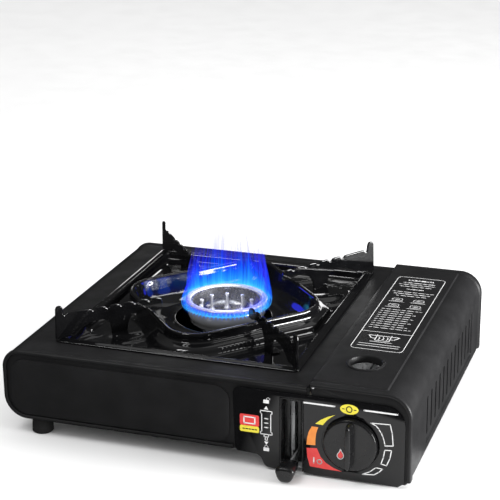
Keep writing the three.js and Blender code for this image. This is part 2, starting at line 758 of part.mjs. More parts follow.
function makeDripPan() {
  const edge = (inset) => (a) =>
    roundedRectRadius(a, PAN.halfX - inset, PAN.halfY - inset, Math.max(PAN.corner - inset, 1.5));
  const diamond = (grow) => (a) =>
    diamondRadius(a, RIM.halfX + grow, RIM.halfY + grow, Math.max(RIM.corner + grow, 8));
  const circle = (radius) => () => radius;
  const between = (f, g, share) => (a) => f(a) * (1 - share) + g(a) * share;
  const skirtFoot = (a) => Math.min(diamond(16)(a), edge(11)(a) - 1);
  const ledgeEdge = (a) => Math.min(diamond(12)(a), skirtFoot(a) - 1.5);
  const rings = [
    [edge(0), PAN_EDGE_TOP - 0.2],
    [edge(0.6), PAN_EDGE_TOP],
    [edge(3.6), PAN_EDGE_TOP],
    [edge(9.2), PAN_PLATE + 1],
    [edge(10.6), PAN_PLATE],
    [skirtFoot, PAN_PLATE],
    [ledgeEdge, PAN_LEDGE],
    [diamond(3), PAN_LEDGE + 0.3],
    [diamond(2.2), RIM.top - 2.6],
    [diamond(0.8), RIM.top],
    [diamond(-1.4), RIM.top],
    [diamond(-4), RIM.top - 3],
    [between(diamond(-13), circle(62), 0.3), PAN_WELL_FLOOR + 4],
    [between(diamond(-17), circle(56), 0.6), PAN_WELL_FLOOR],
    [circle(PAN_HOLE + 3), PAN_WELL_FLOOR],
    [circle(PAN_HOLE + 1.2), PAN_WELL_FLOOR + 3],
    [circle(PAN_HOLE), PAN_WELL_FLOOR + 3],
  ];
  const directions = panDirections();
  const count = directions.length;
  const positions = [];
  for (const lower of [0, PAN_THICKNESS]) {
    for (const [radiusAt, height] of rings) {
      for (const angle of directions) {
        const radius = radiusAt(angle);
        positions.push(radius * Math.cos(angle), radius * Math.sin(angle), height - lower);
      }
    }
  }
  const indices = [];
  const quad = (a, b, c, d) => indices.push(a, b, c, a, c, d);
  const underside = rings.length * count;
  for (let i = 0; i < count; i++) {
    const j = (i + 1) % count;
    for (let r = 0; r + 1 < rings.length; r++) {
      const near = r * count;
      const next = near + count;
      quad(near + i, near + j, next + j, next + i);
      quad(underside + near + j, underside + near + i, underside + next + i, underside + next + j);
    }
    const last = (rings.length - 1) * count;
    quad(j, i, underside + i, underside + j);
    quad(last + i, last + j, underside + last + j, underside + last + i);
  }
  const geometry = new THREE.BufferGeometry();
  geometry.setAttribute("position", new THREE.Float32BufferAttribute(positions, 3));
  geometry.setIndex(indices);
  return geometry.translate(PAN.x, PAN.y, 0);
}

// One pan support in its own plane: x runs out along the diagonal from the pan's centre, and the top
// edge has round notches that stop a pot from sliding.
function supportOutline() {
  const foot = PAN_PLATE + GAP;
  const rest = PAN_EDGE_TOP + GAP;
  const shape = new THREE.Shape();
  shape.moveTo(159, rest);
  shape.lineTo(158, SPIKE_TOP);
  shape.lineTo(151.5, SPIKE_TOP);
  shape.lineTo(151, 95.5);
  shape.lineTo(148, 98);
  shape.lineTo(128, 97);
  const firstNotch = 124;
  const pitch = 13;
  const notchRadius = 2;
  for (let i = 0; i < 5; i++) {
    const x = firstNotch - pitch * i;
    const z = 97 - 0.45 * (i + 1);
    shape.lineTo(x + notchRadius, z);
    shape.absarc(x, z, notchRadius, 2 * Math.PI, Math.PI, true);
  }
  shape.lineTo(63, 94.5);
  shape.quadraticCurveTo(60.4, 94, 60.2, 90);
  shape.lineTo(60.2, RIM.top + GAP);
  shape.lineTo(67, RIM.top + GAP);
  shape.quadraticCurveTo(80, 88, 88, 85);
  shape.quadraticCurveTo(93.5, 82, 93.5, foot);
  shape.lineTo(108, foot);
  shape.lineTo(108, 78);
  shape.quadraticCurveTo(109, 85.5, 120, 85.5);
  shape.quadraticCurveTo(136, 86, 142, rest);
  return shape;
}

function makePanSupport() {
  const half = SUPPORT_THICKNESS / 2;
  const plate = plateXZ(supportOutline(), -half, half, 5);
  const foot = block(93.5, 108, half - 0.5, 8, PAN_PLATE + GAP, PAN_PLATE + GAP + 1.5);
  return join(plate, foot);
}

const panGroup = new THREE.Group();
stove.add(panGroup);
addPiece(panGroup, "drip_pan", makeDripPan(), enamel);
const SUPPORTS = [
  { name: "pan_support_front_left", x: -1, y: -1 },
  { name: "pan_support_front_right", x: 1, y: -1 },
  { name: "pan_support_rear_left", x: -1, y: 1 },
  { name: "pan_support_rear_right", x: 1, y: 1 },
];
for (const { name, x, y } of SUPPORTS) {
  const mesh = addPiece(panGroup, name, makePanSupport(), enamel);
  mesh.position.set(PAN.x, PAN.y, 0);
  mesh.rotation.z = Math.atan2(y * PAN.halfY, x * PAN.halfX);
}

// ------------------------------------------------------------------------------------------------ lid

function lidSection(thickness) {
  const shape = new THREE.Shape();
  const centreX = WIDTH - LID.radius;
  const centreZ = LID.top - LID.radius;
  shape.moveTo(LID.left, LID.top - thickness);
  shape.lineTo(centreX, LID.top - thickness);
  shape.absarc(centreX, centreZ, LID.radius - thickness, Math.PI / 2, 0, true);
  shape.lineTo(WIDTH - thickness, LID.bottom);
  shape.lineTo(WIDTH, LID.bottom);
  shape.absarc(centreX, centreZ, LID.radius, 0, Math.PI / 2, false);
  shape.lineTo(LID.left, LID.top);
  return shape;
}

function makeLidEar(y0) {
  const radius = 2.4;
  const thickness = 1.5;
  const top = LID.top - SHEET / 2;
  const eye = rodAlongY(HINGE.x, HINGE.z, radius, y0, y0 + thickness, 20);
  const web = block(LID.left, HINGE.x + radius, y0, y0 + thickness, HINGE.z, top);
  return join(eye, web);
}

function makeCartridgeLid() {
  const sheet = plateXZ(lidSection(SHEET), 0, DEPTH);
  const hem = HEM - 0.1;
  const hems = [
    plateXZ(lidSection(hem), 0, HEM_DEPTH),
    plateXZ(lidSection(hem), DEPTH - HEM_DEPTH, DEPTH),
  ];
  const ears = [makeLidEar(INNER_FRONT + GAP), makeLidEar(INNER_REAR - GAP - 1.5)];
  const rim = rodAlongZ(VIEW_HOLE.x, VIEW_HOLE.y, VIEW_HOLE.rimRadius, LID.top - SHEET, VIEW_HOLE.rimTop, 32);
  const hole = rodAlongZ(VIEW_HOLE.x, VIEW_HOLE.y, VIEW_HOLE.radius, LID.top - 5, LID.top + 5, 32);
  const slots = [];
  const pitch = (VENT.rear - VENT.front) / (VENT.count - 1);
  for (let i = 0; i < VENT.count; i++) {
    const y = VENT.front + pitch * i;
    slots.push(block(WIDTH - 3, WIDTH + 1, y - VENT.width / 2, y + VENT.width / 2, VENT.bottom, VENT.top));
  }
  return cut(join(sheet, ...hems, ...ears, rim), hole, hingePinHoles(3, DEPTH - 3), ...slots);
}

const lidGroup = new THREE.Group();
stove.add(lidGroup);
addPiece(lidGroup, "cartridge_lid", makeCartridgeLid(), powderCoat);

// ----------------------------------------------------------------------------------------------- knob

function makeControlKnob() {
  const profile = [
    [0, KNOB.face],
    [KNOB.radius - 1.4, KNOB.face],
    [KNOB.radius - 0.4, KNOB.face + 0.9],
    [KNOB.radius, KNOB.back],
    [3.3, KNOB.back],
    [3.3, KNOB.face + 1.4],
    [0, KNOB.face + 1.4],
  ];
  const disc = turnedY(profile, 0, 0, 40);
  const grip = plateXZ(roundedRectangle(-2.4, 2.4, -18.5, 18.5, 2.3), KNOB.grip, KNOB.face + 0.5, 4);
  return join(disc, grip);
}

function makeIgniterCam() {
  const shape = new THREE.Shape();
  const lobe = CAM_LOBE;
  const base = 7;
  const start = 0.28 * Math.PI;
  shape.absarc(0, 0, base, start + 0.5, start - 0.5 + 2 * Math.PI, false);
  shape.lineTo(lobe * Math.cos(start - 0.15), lobe * Math.sin(start - 0.15));
  shape.lineTo(lobe * Math.cos(start + 0.15), lobe * Math.sin(start + 0.15));
  const bore = new THREE.Path();
  bore.absarc(0, 0, 3.3, 0, 2 * Math.PI, true);
  shape.holes.push(bore);
  return plateXZ(shape, 5.6, 9.6, 8);
}

const knobGroup = new THREE.Group();
knobGroup.position.set(KNOB.x, 0, KNOB.z);
stove.add(knobGroup);
addPiece(knobGroup, "control_knob", makeControlKnob(), blackPlastic);
addPiece(knobGroup, "valve_stem", rodAlongY(0, 0, 3, KNOB.face + 1.7, 17, 12), brass);
addPiece(knobGroup, "igniter_cam", makeIgniterCam(), blackPlastic);

// ---------------------------------------------------------------------------------- lever and carriage

function makeLeverArm() {
  const shape = new THREE.Shape();
  const bossRadius = 6;
  shape.moveTo(-16, 8);
  shape.lineTo(84, 7);
  shape.absarc(LEVER.pivotY, LEVER.pivotZ, bossRadius, -(2 / 3) * Math.PI, (2 / 3) * Math.PI, false);
  shape.lineTo(80, 13);
  shape.lineTo(-16, 12);
  const x0 = LEVER.x - LEVER.thickness / 2;
  const x1 = LEVER.x + LEVER.thickness / 2;
  return cut(plateYZ(shape, x0, x1), rodAlongX(LEVER.pivotY, LEVER.pivotZ, 2.3, x0 - 1, x1 + 1, 12));
}

function makeLeverKnob() {
  const shape = new THREE.Shape();
  const half = 7.8;
  shape.moveTo(LEVER.x - half, 14);
  shape.lineTo(LEVER.x - half, 8);
  shape.quadraticCurveTo(LEVER.x - half + 1, 1.5, LEVER.x - 4, 1.2);
  shape.lineTo(LEVER.x + 4, 1.2);
  shape.quadraticCurveTo(LEVER.x + half - 1, 1.5, LEVER.x + half, 8);
  shape.lineTo(LEVER.x + half, 14);
  const grip = plateXZ(shape, LEVER_FRONT, -1.6, 4);
  const socket = block(LEVER.x - 1.1, LEVER.x + 1.1, -16.4, 0, 7.5, 12.5);
  return cut(grip, socket);
}

// Sliding carriage: a rail beside the cartridge with an upright end that presses on its base.
function makeCartridgePusher() {
  const low = BAY.floor + SHEET + GAP;
  const rail = block(261, 270, 84, CARTRIDGE.rear + 4, low, low + SHEET);
  const cross = block(261, 322, CARTRIDGE.rear + 2.8, CARTRIDGE.rear + 4, low, 16);
  const pad = block(284, 320, CARTRIDGE.rear + 2.8, CARTRIDGE.rear + 4, 15, 58);
  const link = block(251.9, 262, 86, 100, low, low + SHEET);
  return join(rail, cross, pad, link);
}

const leverGroup = new THREE.Group();
stove.add(leverGroup);
addPiece(leverGroup, "lever_arm", makeLeverArm(), zincSteel);
addPiece(leverGroup, "lever_knob", makeLeverKnob(), blackPlastic);
const carriageGroup = new THREE.Group();
stove.add(carriageGroup);
addPiece(carriageGroup, "cartridge_pusher", makeCartridgePusher(), zincSteel);

const lead = tubeAlong(IGNITION_LEAD_ROUTE, 1.1, 0, 3, 36);
addPiece(body, "ignition_lead", lead, wireInsulation);

// The stove's origin: the centre of its base, counting the lever that stands out in front.
stove.position.set(-WIDTH / 2, -(DEPTH + LEVER_FRONT) / 2, 0);

export default stove;
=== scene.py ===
import json
import math

import bmesh
import bpy
from mathutils import Matrix, Vector


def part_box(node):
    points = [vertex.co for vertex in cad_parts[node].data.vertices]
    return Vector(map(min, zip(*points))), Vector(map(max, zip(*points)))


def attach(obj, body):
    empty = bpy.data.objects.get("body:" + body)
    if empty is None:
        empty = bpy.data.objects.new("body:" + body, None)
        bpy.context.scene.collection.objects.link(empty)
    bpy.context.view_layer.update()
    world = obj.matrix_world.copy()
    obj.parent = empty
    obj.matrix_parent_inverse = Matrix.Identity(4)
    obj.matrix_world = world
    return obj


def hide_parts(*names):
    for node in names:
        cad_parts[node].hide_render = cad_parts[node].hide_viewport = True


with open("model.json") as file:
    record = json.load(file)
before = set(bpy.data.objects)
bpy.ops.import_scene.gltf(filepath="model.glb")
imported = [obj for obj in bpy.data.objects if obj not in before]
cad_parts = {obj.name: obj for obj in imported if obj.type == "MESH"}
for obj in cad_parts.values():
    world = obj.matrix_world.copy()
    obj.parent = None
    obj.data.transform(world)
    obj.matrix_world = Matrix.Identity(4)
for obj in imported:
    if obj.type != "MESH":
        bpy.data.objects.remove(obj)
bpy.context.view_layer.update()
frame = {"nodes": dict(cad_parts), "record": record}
NODES = frame["nodes"]
MM = 0.001

# The case frame: millimetres from the case's left side, its front edge and the table.
CASE_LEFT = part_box("housing_wrap")[0][0]
CASE_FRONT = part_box("housing_wrap")[0][1]
CASE_DEPTH = (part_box("housing_wrap")[1][1] - CASE_FRONT) / MM
CASE_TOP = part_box("housing_wrap")[1][2] / MM


def at(x, y, z):
    return Vector((CASE_LEFT + x * MM, CASE_FRONT + y * MM, z * MM))


def case_box(node):
    """A CAD node's box in the case frame."""
    low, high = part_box(node)
    shift = Vector((CASE_LEFT, CASE_FRONT, 0))
    return (Vector(low) - shift) / MM, (Vector(high) - shift) / MM


# ------------------------------------------------------------------------------------ materials


class Look:
    """A Principled material with noise-driven colour, roughness and bump, in object space."""

    def __init__(self, name, roughness, metallic=0.0):
        self.material = bpy.data.materials.new(name)
        self.material.use_nodes = True
        self.tree = self.material.node_tree
        self.shader = self.tree.nodes["Principled BSDF"]
        self.shader.inputs["Metallic"].default_value = metallic
        self.shader.inputs["Roughness"].default_value = roughness
        self.where = self.tree.nodes.new("ShaderNodeTexCoord").outputs["Object"]
        self.height = None

    def link(self, source, target):
        self.tree.links.new(source, target)

    def noise(self, scale, detail):
        texture = self.tree.nodes.new("ShaderNodeTexNoise")
        texture.inputs["Scale"].default_value = scale
        texture.inputs["Detail"].default_value = detail
        self.link(self.where, texture.inputs["Vector"])
        return texture.outputs["Fac"]

    def spread(self, source, low, high, start=0.35, end=0.65):
        node = self.tree.nodes.new("ShaderNodeMapRange")
        node.inputs["From Min"].default_value = start
        node.inputs["From Max"].default_value = end
        node.inputs["To Min"].default_value = low
        node.inputs["To Max"].default_value = high
        self.link(source, node.inputs["Value"])
        return node.outputs["Result"]

    def attribute(self, name):
        node = self.tree.nodes.new("ShaderNodeAttribute")
        node.attribute_name = name
        return node.outputs["Fac"]

    def ramp(self, source, stops):
        node = self.tree.nodes.new("ShaderNodeValToRGB")
        elements = node.color_ramp.elements
        while len(elements) < len(stops):
            elements.new(0.5)
        for element, (position, rgb) in zip(elements, stops):
            element.position = position
            element.color = (*rgb, 1)
        self.link(source, node.inputs["Fac"])
        return node.outputs["Color"]

    def times(self, first, second):
        """The product of a socket and a second one or a plain number."""
        node = self.tree.nodes.new("ShaderNodeMath")
        node.operation = "MULTIPLY"
        self.link(first, node.inputs[0])
        if isinstance(second, float):
            node.inputs[1].default_value = second
        else:
            self.link(second, node.inputs[1])
        return node.outputs["Value"]

    def blend(self, share, first, second):
        """Ends the material in a mix of two shaders."""
        node = self.tree.nodes.new("ShaderNodeMixShader")
        self.link(share, node.inputs["Fac"])
        self.link(first, node.inputs[1])
        self.link(second, node.inputs[2])
        self.link(node.outputs["Shader"], self.tree.nodes["Material Output"].inputs["Surface"])

    def colour(self, source, stops):
        self.link(self.ramp(source, stops), self.shader.inputs["Base Color"])

    def rough(self, source, low, high):
        self.link(self.spread(source, low, high), self.shader.inputs["Roughness"])

    def bump(self, source, strength, distance_mm):
        node = self.tree.nodes.new("ShaderNodeBump")
        node.inputs["Strength"].default_value = strength
        node.inputs["Distance"].default_value = distance_mm * MM
        self.link(source, node.inputs["Height"])
        if self.height is not None:
            self.link(self.height, node.inputs["Normal"])
        self.height = node.outputs["Normal"]
        self.link(self.height, self.shader.inputs["Normal"])


def powder_coat():
    look = Look("powder_coat", 0.45)
    look.colour(look.noise(38, 5), [(0.3, (0.0098, 0.0098, 0.0103)), (0.7, (0.0142, 0.0142, 0.0149))])
    look.rough(look.noise(55, 4), 0.38, 0.5)
    look.bump(look.noise(1500, 2), 0.35, 0.05)
    look.bump(look.noise(260, 2), 0.15, 0.12)
    look.shader.inputs["Specular IOR Level"].default_value = 0.2
    return look.material


def enamel():
    look = Look("vitreous_enamel", 0.06)
    look.colour(look.noise(60, 4), [(0.3, (0.0022, 0.0022, 0.0025)), (0.75, (0.0045, 0.0045, 0.005))])
    look.rough(look.noise(90, 5), 0.035, 0.11)
    look.bump(look.noise(75, 2), 0.08, 0.25)
    look.bump(look.noise(700, 2), 0.01, 0.03)
    look.shader.inputs["Specular IOR Level"].default_value = 0.6
    look.shader.inputs["Coat Weight"].default_value = 0.25
    look.shader.inputs["Coat Roughness"].default_value = 0.03
    return look.material


def plastic(name, dark, light, low, high, grain):
    look = Look(name, low)
    look.colour(look.noise(45, 4), [(0.3, dark), (0.75, light)])
    look.rough(look.noise(70, 4), low, high)
    look.bump(look.noise(grain, 2), 0.2, 0.04)
    look.bump(look.noise(30, 1), 0.08, 0.3)
    look.shader.inputs["Specular IOR Level"].default_value = 0.36
    return look.material


def plated_steel(name, dark, light, low, high, metallic):
    look = Look(name, low, metallic)
    look.colour(look.noise(60, 5), [(0.3, dark), (0.7, light)])
    look.rough(look.noise(300, 4), low, high)
    look.bump(look.noise(300, 3), 0.12, 0.05)
    return look.material


def ink(name, dark, light):
    look = Look(name, 0.35)
    look.colour(look.noise(180, 4), [(0.3, dark), (0.7, light)])
    look.rough(look.noise(220, 3), 0.28, 0.45)
    look.bump(look.noise(900, 2), 0.1, 0.02)
    return look.material


LOOKS = {
    "powder_coat": powder_coat(),
    "enamel": enamel(),
    "fascia": plastic("fascia_gloss", (0.0035, 0.0035, 0.004), (0.0055, 0.0055, 0.006), 0.08, 0.16, 1200),
    "black_plastic": plastic("moulded_plastic", (0.005, 0.005, 0.0054), (0.009, 0.009, 0.0096),
                             0.2, 0.32, 1600),
    "rubber": plastic("rubber", (0.011, 0.011, 0.011), (0.02, 0.02, 0.0195), 0.7, 0.9, 700),
    "zinc_steel": plated_steel("zinc_plate", (0.32, 0.325, 0.33), (0.4, 0.405, 0.41), 0.26, 0.42, 0.5),
    "bright_steel": plated_steel("bright_steel", (0.72, 0.72, 0.73), (0.88, 0.88, 0.89), 0.14, 0.28, 0.5),
    "cast_aluminium": plated_steel("cast_aluminium", (0.55, 0.55, 0.56), (0.68, 0.68, 0.69),
                                   0.1, 0.18, 1.0),
    "brass": plated_steel("brass", (0.6, 0.4, 0.14), (0.8, 0.58, 0.26), 0.2, 0.36, 0.8),
    "ceramic": plastic("glazed_ceramic", (0.7, 0.68, 0.62), (0.84, 0.82, 0.77), 0.15, 0.3, 500),
    "lead_insulation": plastic("silicone", (0.62, 0.58, 0.5), (0.74, 0.7, 0.62), 0.45, 0.6, 800),
}
BURNER_METAL = plated_steel("burner_metal", (0.5, 0.5, 0.51), (0.66, 0.66, 0.67), 0.12, 0.24, 0.55)
CUP_STEEL = plated_steel("cup_steel", (0.2, 0.2, 0.21), (0.36, 0.36, 0.37), 0.2, 0.34, 0.8)
WHITE_INK = ink("white_ink", (0.74, 0.74, 0.74), (0.88, 0.88, 0.88))
YELLOW_INK = ink("yellow_ink", (0.78, 0.66, 0.03), (0.88, 0.77, 0.06))
ORANGE_INK = ink("orange_ink", (0.84, 0.25, 0.03), (0.92, 0.32, 0.05))
RED_INK = ink("red_ink", (0.72, 0.035, 0.035), (0.82, 0.06, 0.055))
BLACK_INK = ink("black_ink", (0.012, 0.012, 0.012), (0.02, 0.02, 0.02))


# ------------------------------------------------------------------------------------- geometry


class Form:
    """Points in the case frame, in millimetres, and the faces between them."""

    def __init__(self):
        self.points = []
        self.faces = []

    def add(self, points, faces):
        first = len(self.points)
        self.points.extend(points)
        self.faces.extend([tuple(first + i for i in face) for face in faces])

    def loft(self, rings, caps=True, round_again=False):
        """Skins closed rings of equal length, one after another."""
        count = len(rings[0])
        points = [p for ring in rings for p in ring]
        faces = []
        last = len(rings) if round_again else len(rings) - 1
        for r in range(last):
            here = r * count
            there = ((r + 1) % len(rings)) * count
            for i in range(count):
                j = (i + 1) % count
                faces.append((here + i, here + j, there + j, there + i))
        if caps and not round_again:
            faces.append(tuple(range(count))[::-1])
            faces.append(tuple(range((len(rings) - 1) * count, len(rings) * count)))
        self.add(points, faces)

    def prism(self, outline, low, high, plane="xz"):
        """A closed outline made solid between two depths, across the plane it is drawn in."""
        place = {
            "xz": lambda u, v, d: (u, d, v),
            "xy": lambda u, v, d: (u, v, d),
            "yz": lambda u, v, d: (d, u, v),
        }[plane]
        self.loft([[place(u, v, d) for u, v in outline] for d in (low, high)])

    def turned(self, profile, centre, axis="z", segments=64, closed=False):
        """A profile of (radius, height) points turned about an axis through centre."""
        rings = []
        for radius, height in profile:
            ring = []
            for i in range(segments):
                angle = 2 * math.pi * i / segments
                u = radius * math.cos(angle)
                v = radius * math.sin(angle)
                if axis == "z":
                    ring.append((centre[0] + u, centre[1] + v, height))
                else:
                    ring.append((centre[0] + u, height, centre[1] + v))
            rings.append(ring)
        self.loft(rings, caps=not closed, round_again=closed)


def make(name, form, look, body=None, replaced=(), sharp=35):
    mesh = bpy.data.meshes.new(name)
    mesh.from_pydata([at(*p) for p in form.points], [], form.faces)
    mesh.validate()
    tidy = bmesh.new()
    tidy.from_mesh(mesh)
    bmesh.ops.recalc_face_normals(tidy, faces=tidy.faces)
    tidy.to_mesh(mesh)
    tidy.free()
    mesh.shade_smooth()
    mesh.set_sharp_from_angle(angle=math.radians(sharp))
    piece = bpy.data.objects.new(name, mesh)
    bpy.context.scene.collection.objects.link(piece)
    if look is not None:
        mesh.materials.append(look)
    if body:
        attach(piece, body)
        if replaced:
            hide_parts(*replaced)
    return piece


def round_edges(piece, width_mm, segments=3, angle=32, weld=False):
    if weld:
        modifier = piece.modifiers.new("weld", "WELD")
        modifier.merge_threshold = 0.00002
    modifier = piece.modifiers.new("edges", "BEVEL")
    modifier.width = width_mm * MM
    modifier.segments = segments
    modifier.limit_method = "ANGLE"
    modifier.angle_limit = math.radians(angle)


def carve(piece, form):
    """Cuts a form out of a piece and keeps the result in the piece's mesh."""
    cutter = make("cutter", form, None)
    modifier = piece.modifiers.new("cut", "BOOLEAN")
    modifier.operation = "DIFFERENCE"
    modifier.solver = "EXACT"
    modifier.object = cutter
    bpy.context.view_layer.update()
    graph = bpy.context.evaluated_depsgraph_get()
    result = bpy.data.meshes.new_from_object(piece.evaluated_get(graph))
    piece.modifiers.clear()
    old = piece.data
    piece.data = result
    bpy.data.meshes.remove(old)
    bpy.data.objects.remove(cutter)
    piece.data.shade_smooth()
    piece.data.set_sharp_from_angle(angle=math.radians(35))


def arc(cx, cy, radius, start, end, steps):
    """Points on an arc, with angles in degrees."""
    points = []
    for i in range(steps + 1):
        angle = math.radians(start + (end - start) * i / steps)
        points.append((cx + radius * math.cos(angle), cy + radius * math.sin(angle)))
    return points


def rounded(x0, x1, y0, y1, radius, steps=8):
    return (
        arc(x1 - radius, y0 + radius, radius, -90, 0, steps)
        + arc(x1 - radius, y1 - radius, radius, 0, 90, steps)
        + arc(x0 + radius, y1 - radius, radius, 90, 180, steps)
        + arc(x0 + radius, y0 + radius, radius, 180, 270, steps)
    )


def smooth(t):
    t = min(max(t, 0.0), 1.0)
    return t * t * (3 - 2 * t)


def window(value, start, end, soft):
    """1 between start and end, falling to 0 over a soft width outside them."""
    return smooth((value - start + soft) / soft) * smooth((end + soft - value) / soft)


def between(start, end, count):
    return [start + (end - start) * i / count for i in range(count + 1)]


# ------------------------------------------------------------------------------ case and lid sheets


def sheet_piece(path, depths, offset_at, hem, thickness):
    """A sheet bent along a path of ((x, z), normal), with rolled front and rear edges."""
    form = Form()
    rings = []
    rear = CASE_DEPTH
    lip = [(1.8, hem), (0.7, hem), (0.1, hem - 0.7), (0.0, 1.7), (0.25, 0.85), (0.85, 0.25)]
    for i, ((x, z), (nx, nz)) in enumerate(path):
        loop = [(y, off) for y, off in lip]
        loop += [(y, offset_at(i, x, y, z)) for y in depths]
        loop += [(rear - y, off) for y, off in reversed(lip)]
        inner = [rear - 1.8] + [y for y in reversed(depths) if 3 < y < rear - 3] + [1.8]
        loop += [(y, thickness + max(offset_at(i, x, y, z), 0)) for y in inner]
        rings.append([(x - nx * off, y, z - nz * off) for y, off in loop])
    form.loft(rings)
    return form


def bend(cx, cz, radius, start, end, steps):
    """Path points round a bend of the sheet, each with the direction that faces out."""
    points = arc(cx, cz, radius, start, end, steps)
    return [((x, z), ((x - cx) / radius, (z - cz) / radius)) for x, z in points]


def case_path():
    radius_top, radius_floor, floor = 16.0, 20.0, 14.0
    path = [((x, CASE_TOP), (0, 1)) for x in (259.9, 240, 200, 150, 100, 50, 17)]
    path += bend(radius_top, CASE_TOP - radius_top, radius_top, 90, 180, 14)
    path.append(((0, 40), (-1, 0)))
    path += bend(radius_floor, floor + radius_floor, radius_floor, 180, 270, 14)
    path += [((x, floor), (0, -1)) for x in (60, 120, 180, 225)]
    return path


def edge_bead(y):
    """How far the sheet lies inside its own outline: a rounded bead runs along both open edges."""
    from_end = min(y, CASE_DEPTH - y)
    return 0.75 * smooth((from_end - 4.2) / 1.6) - 0.3 * smooth((from_end - 7.5) / 3)


case_depths = [1.7, 3, 4.2, 4.7, 5.2, 5.8, 6.6, 7.5, 8.5, 9.5, 10.5]
case_depths += between(20, CASE_DEPTH - 20, 12)
case_depths += [CASE_DEPTH - y for y in (10.5, 9.5, 8.5, 7.5, 6.6, 5.8, 5.2, 4.7, 4.2, 3, 1.7)]
shell = make(
    "case_shell",
    sheet_piece(case_path(), case_depths, lambda i, x, y, z: edge_bead(y), 3.2, 1.5),
    LOOKS["powder_coat"],
    "body",
    ("housing_wrap",),
)
PAN_LOW, PAN_HIGH = case_box("drip_pan")
opening = Form()
inset = 2.8
opening.prism(
    rounded(PAN_LOW.x + inset, PAN_HIGH.x - inset, PAN_LOW.y + inset, PAN_HIGH.y - inset, 4),
    CASE_TOP - 6,
    CASE_TOP + 6,
    "xy",
)
opening.prism(rounded(199.5, 230, -2, 2.1, 0.5), 10, 18, "xy")
carve(shell, opening)
round_edges(shell, 0.25, 2, 50)

LID_LOW, LID_HIGH = case_box("cartridge_lid")
LID_TOP = 78.3
LID_RADIUS = 20.0
CREASE_X = LID_HIGH.x - LID_RADIUS - 1
VENT_BOX = {"front": 61, "rear": 250, "bottom": 12.5, "top": 53}


def lid_path():
    path = [((LID_LOW.x, LID_TOP - 2.2), (-1, 0)), ((LID_LOW.x, LID_TOP - 0.9), (-1, 0.1))]
    path += [((LID_LOW.x + 0.3, LID_TOP - 0.2), (-0.6, 0.8)), ((LID_LOW.x + 1, LID_TOP), (0, 1))]
    path += [((x, LID_TOP), (0, 1)) for x in (266, 275, 285, 295, 305, 315, 319)]
    path += [((CREASE_X + dx, LID_TOP), (0, 1)) for dx in (-0.9, -0.5, 0, 0.5, 0.9)]
    path += bend(LID_HIGH.x - LID_RADIUS, LID_TOP - LID_RADIUS, LID_RADIUS, 88, 0, 22)
    heights = [56, 54.4, 53.8, 53.3, 52.8, 52.2, 51.4, 50, 40, 30, 20]
    heights += [15, 14, 13.2, 12.7, 12.2, 11.6, 10, 8, LID_LOW.z]
    path += [((LID_HIGH.x, z), (1, 0)) for z in heights]
    return path


def lid_offset(i, x, y, z):
    """The rounded side stands a little inside the hems, and the vent field is pressed in again."""
    over_edge = smooth((x - CREASE_X + 0.5) / 1.0)
    from_end = min(y, CASE_DEPTH - y)
    side = 1.3 * over_edge * smooth((from_end - 7) / 1.8)
    groove = 0.8 * (1 - over_edge) * window(from_end, 7.2, 8.2, 1.2)
    vent = window(y, VENT_BOX["front"], VENT_BOX["rear"], 0.8)
    vent *= window(z, VENT_BOX["bottom"], VENT_BOX["top"], 0.8)
    return side + groove + 1.5 * vent * over_edge


lid_depths = [1.7, 3, 5, 6, 6.6, 7, 7.5, 8, 8.5, 9, 9.6, 10.5, 20, 40, 57, 59.2, 59.8, 60.4, 61, 61.8]
lid_depths += between(66, 244, 14)
lid_depths += [249.2, 250, 250.6, 251.2, 251.8, 254, 265]
lid_depths += [CASE_DEPTH - y for y in (10.5, 9.6, 9, 8.5, 8, 7.5, 7, 6.6, 6, 5, 3, 1.7)]
lid = make(
    "lid_sheet",
    sheet_piece(lid_path(), lid_depths, lid_offset, 3.1, 1.3),
    LOOKS["powder_coat"],
    "lid",
    ("cartridge_lid",),
)
HOLE = Vector((293.5, 51.5))
VIEW_RADIUS = 14.2
view_hole = Form()
view_hole.prism(arc(HOLE.x, HOLE.y, VIEW_RADIUS, 0, 352.5, 47), LID_TOP - 8, LID_TOP + 4, "xy")
carve(lid, view_hole)
SLOT_COUNT = 12
SLOT_FIRST, SLOT_LAST = 69, 242
SLOT_BOTTOM, SLOT_TOP = 16, 49
for i in range(SLOT_COUNT):
    slot = Form()
    y = SLOT_FIRST + (SLOT_LAST - SLOT_FIRST) * i / (SLOT_COUNT - 1)
    slot.prism(rounded(y - 2, y + 2, SLOT_BOTTOM, SLOT_TOP, 1.95, 5), LID_HIGH.x - 6, LID_HIGH.x + 2, "yz")
    carve(lid, slot)
round_edges(lid, 0.2, 2, 50)

rim = Form()
rim.turned(
    [(r, LID_TOP + z) for r, z in ((14.6, -1.6), (15.4, -0.4), (15.6, 0.5), (15, 1), (14.2, 1.05),
                                   (13.4, 0.7), (13, 0), (12.9, -5), (13.6, -5), (14, -1.8))],
    HOLE, "z", 64, closed=True,
)
for pin in ("hinge_pin_front", "hinge_pin_rear"):
    low, high = case_box(pin)
    middle = (low + high) / 2
    near = 4.0 if pin.endswith("front") else CASE_DEPTH - 5.4
    eye = arc(middle.x, middle.z, 2.3, -90, 90, 10) + [(middle.x, LID_TOP - 0.8)]
    eye += [(LID_LOW.x + 0.2, LID_TOP - 0.8), (LID_LOW.x + 0.2, middle.z)]
    rim.prism(eye, near, near + 1.3)
make("lid_rim_and_ears", rim, LOOKS["powder_coat"], "lid", ())


# ---------------------------------------------------------------------------------------- drip pan

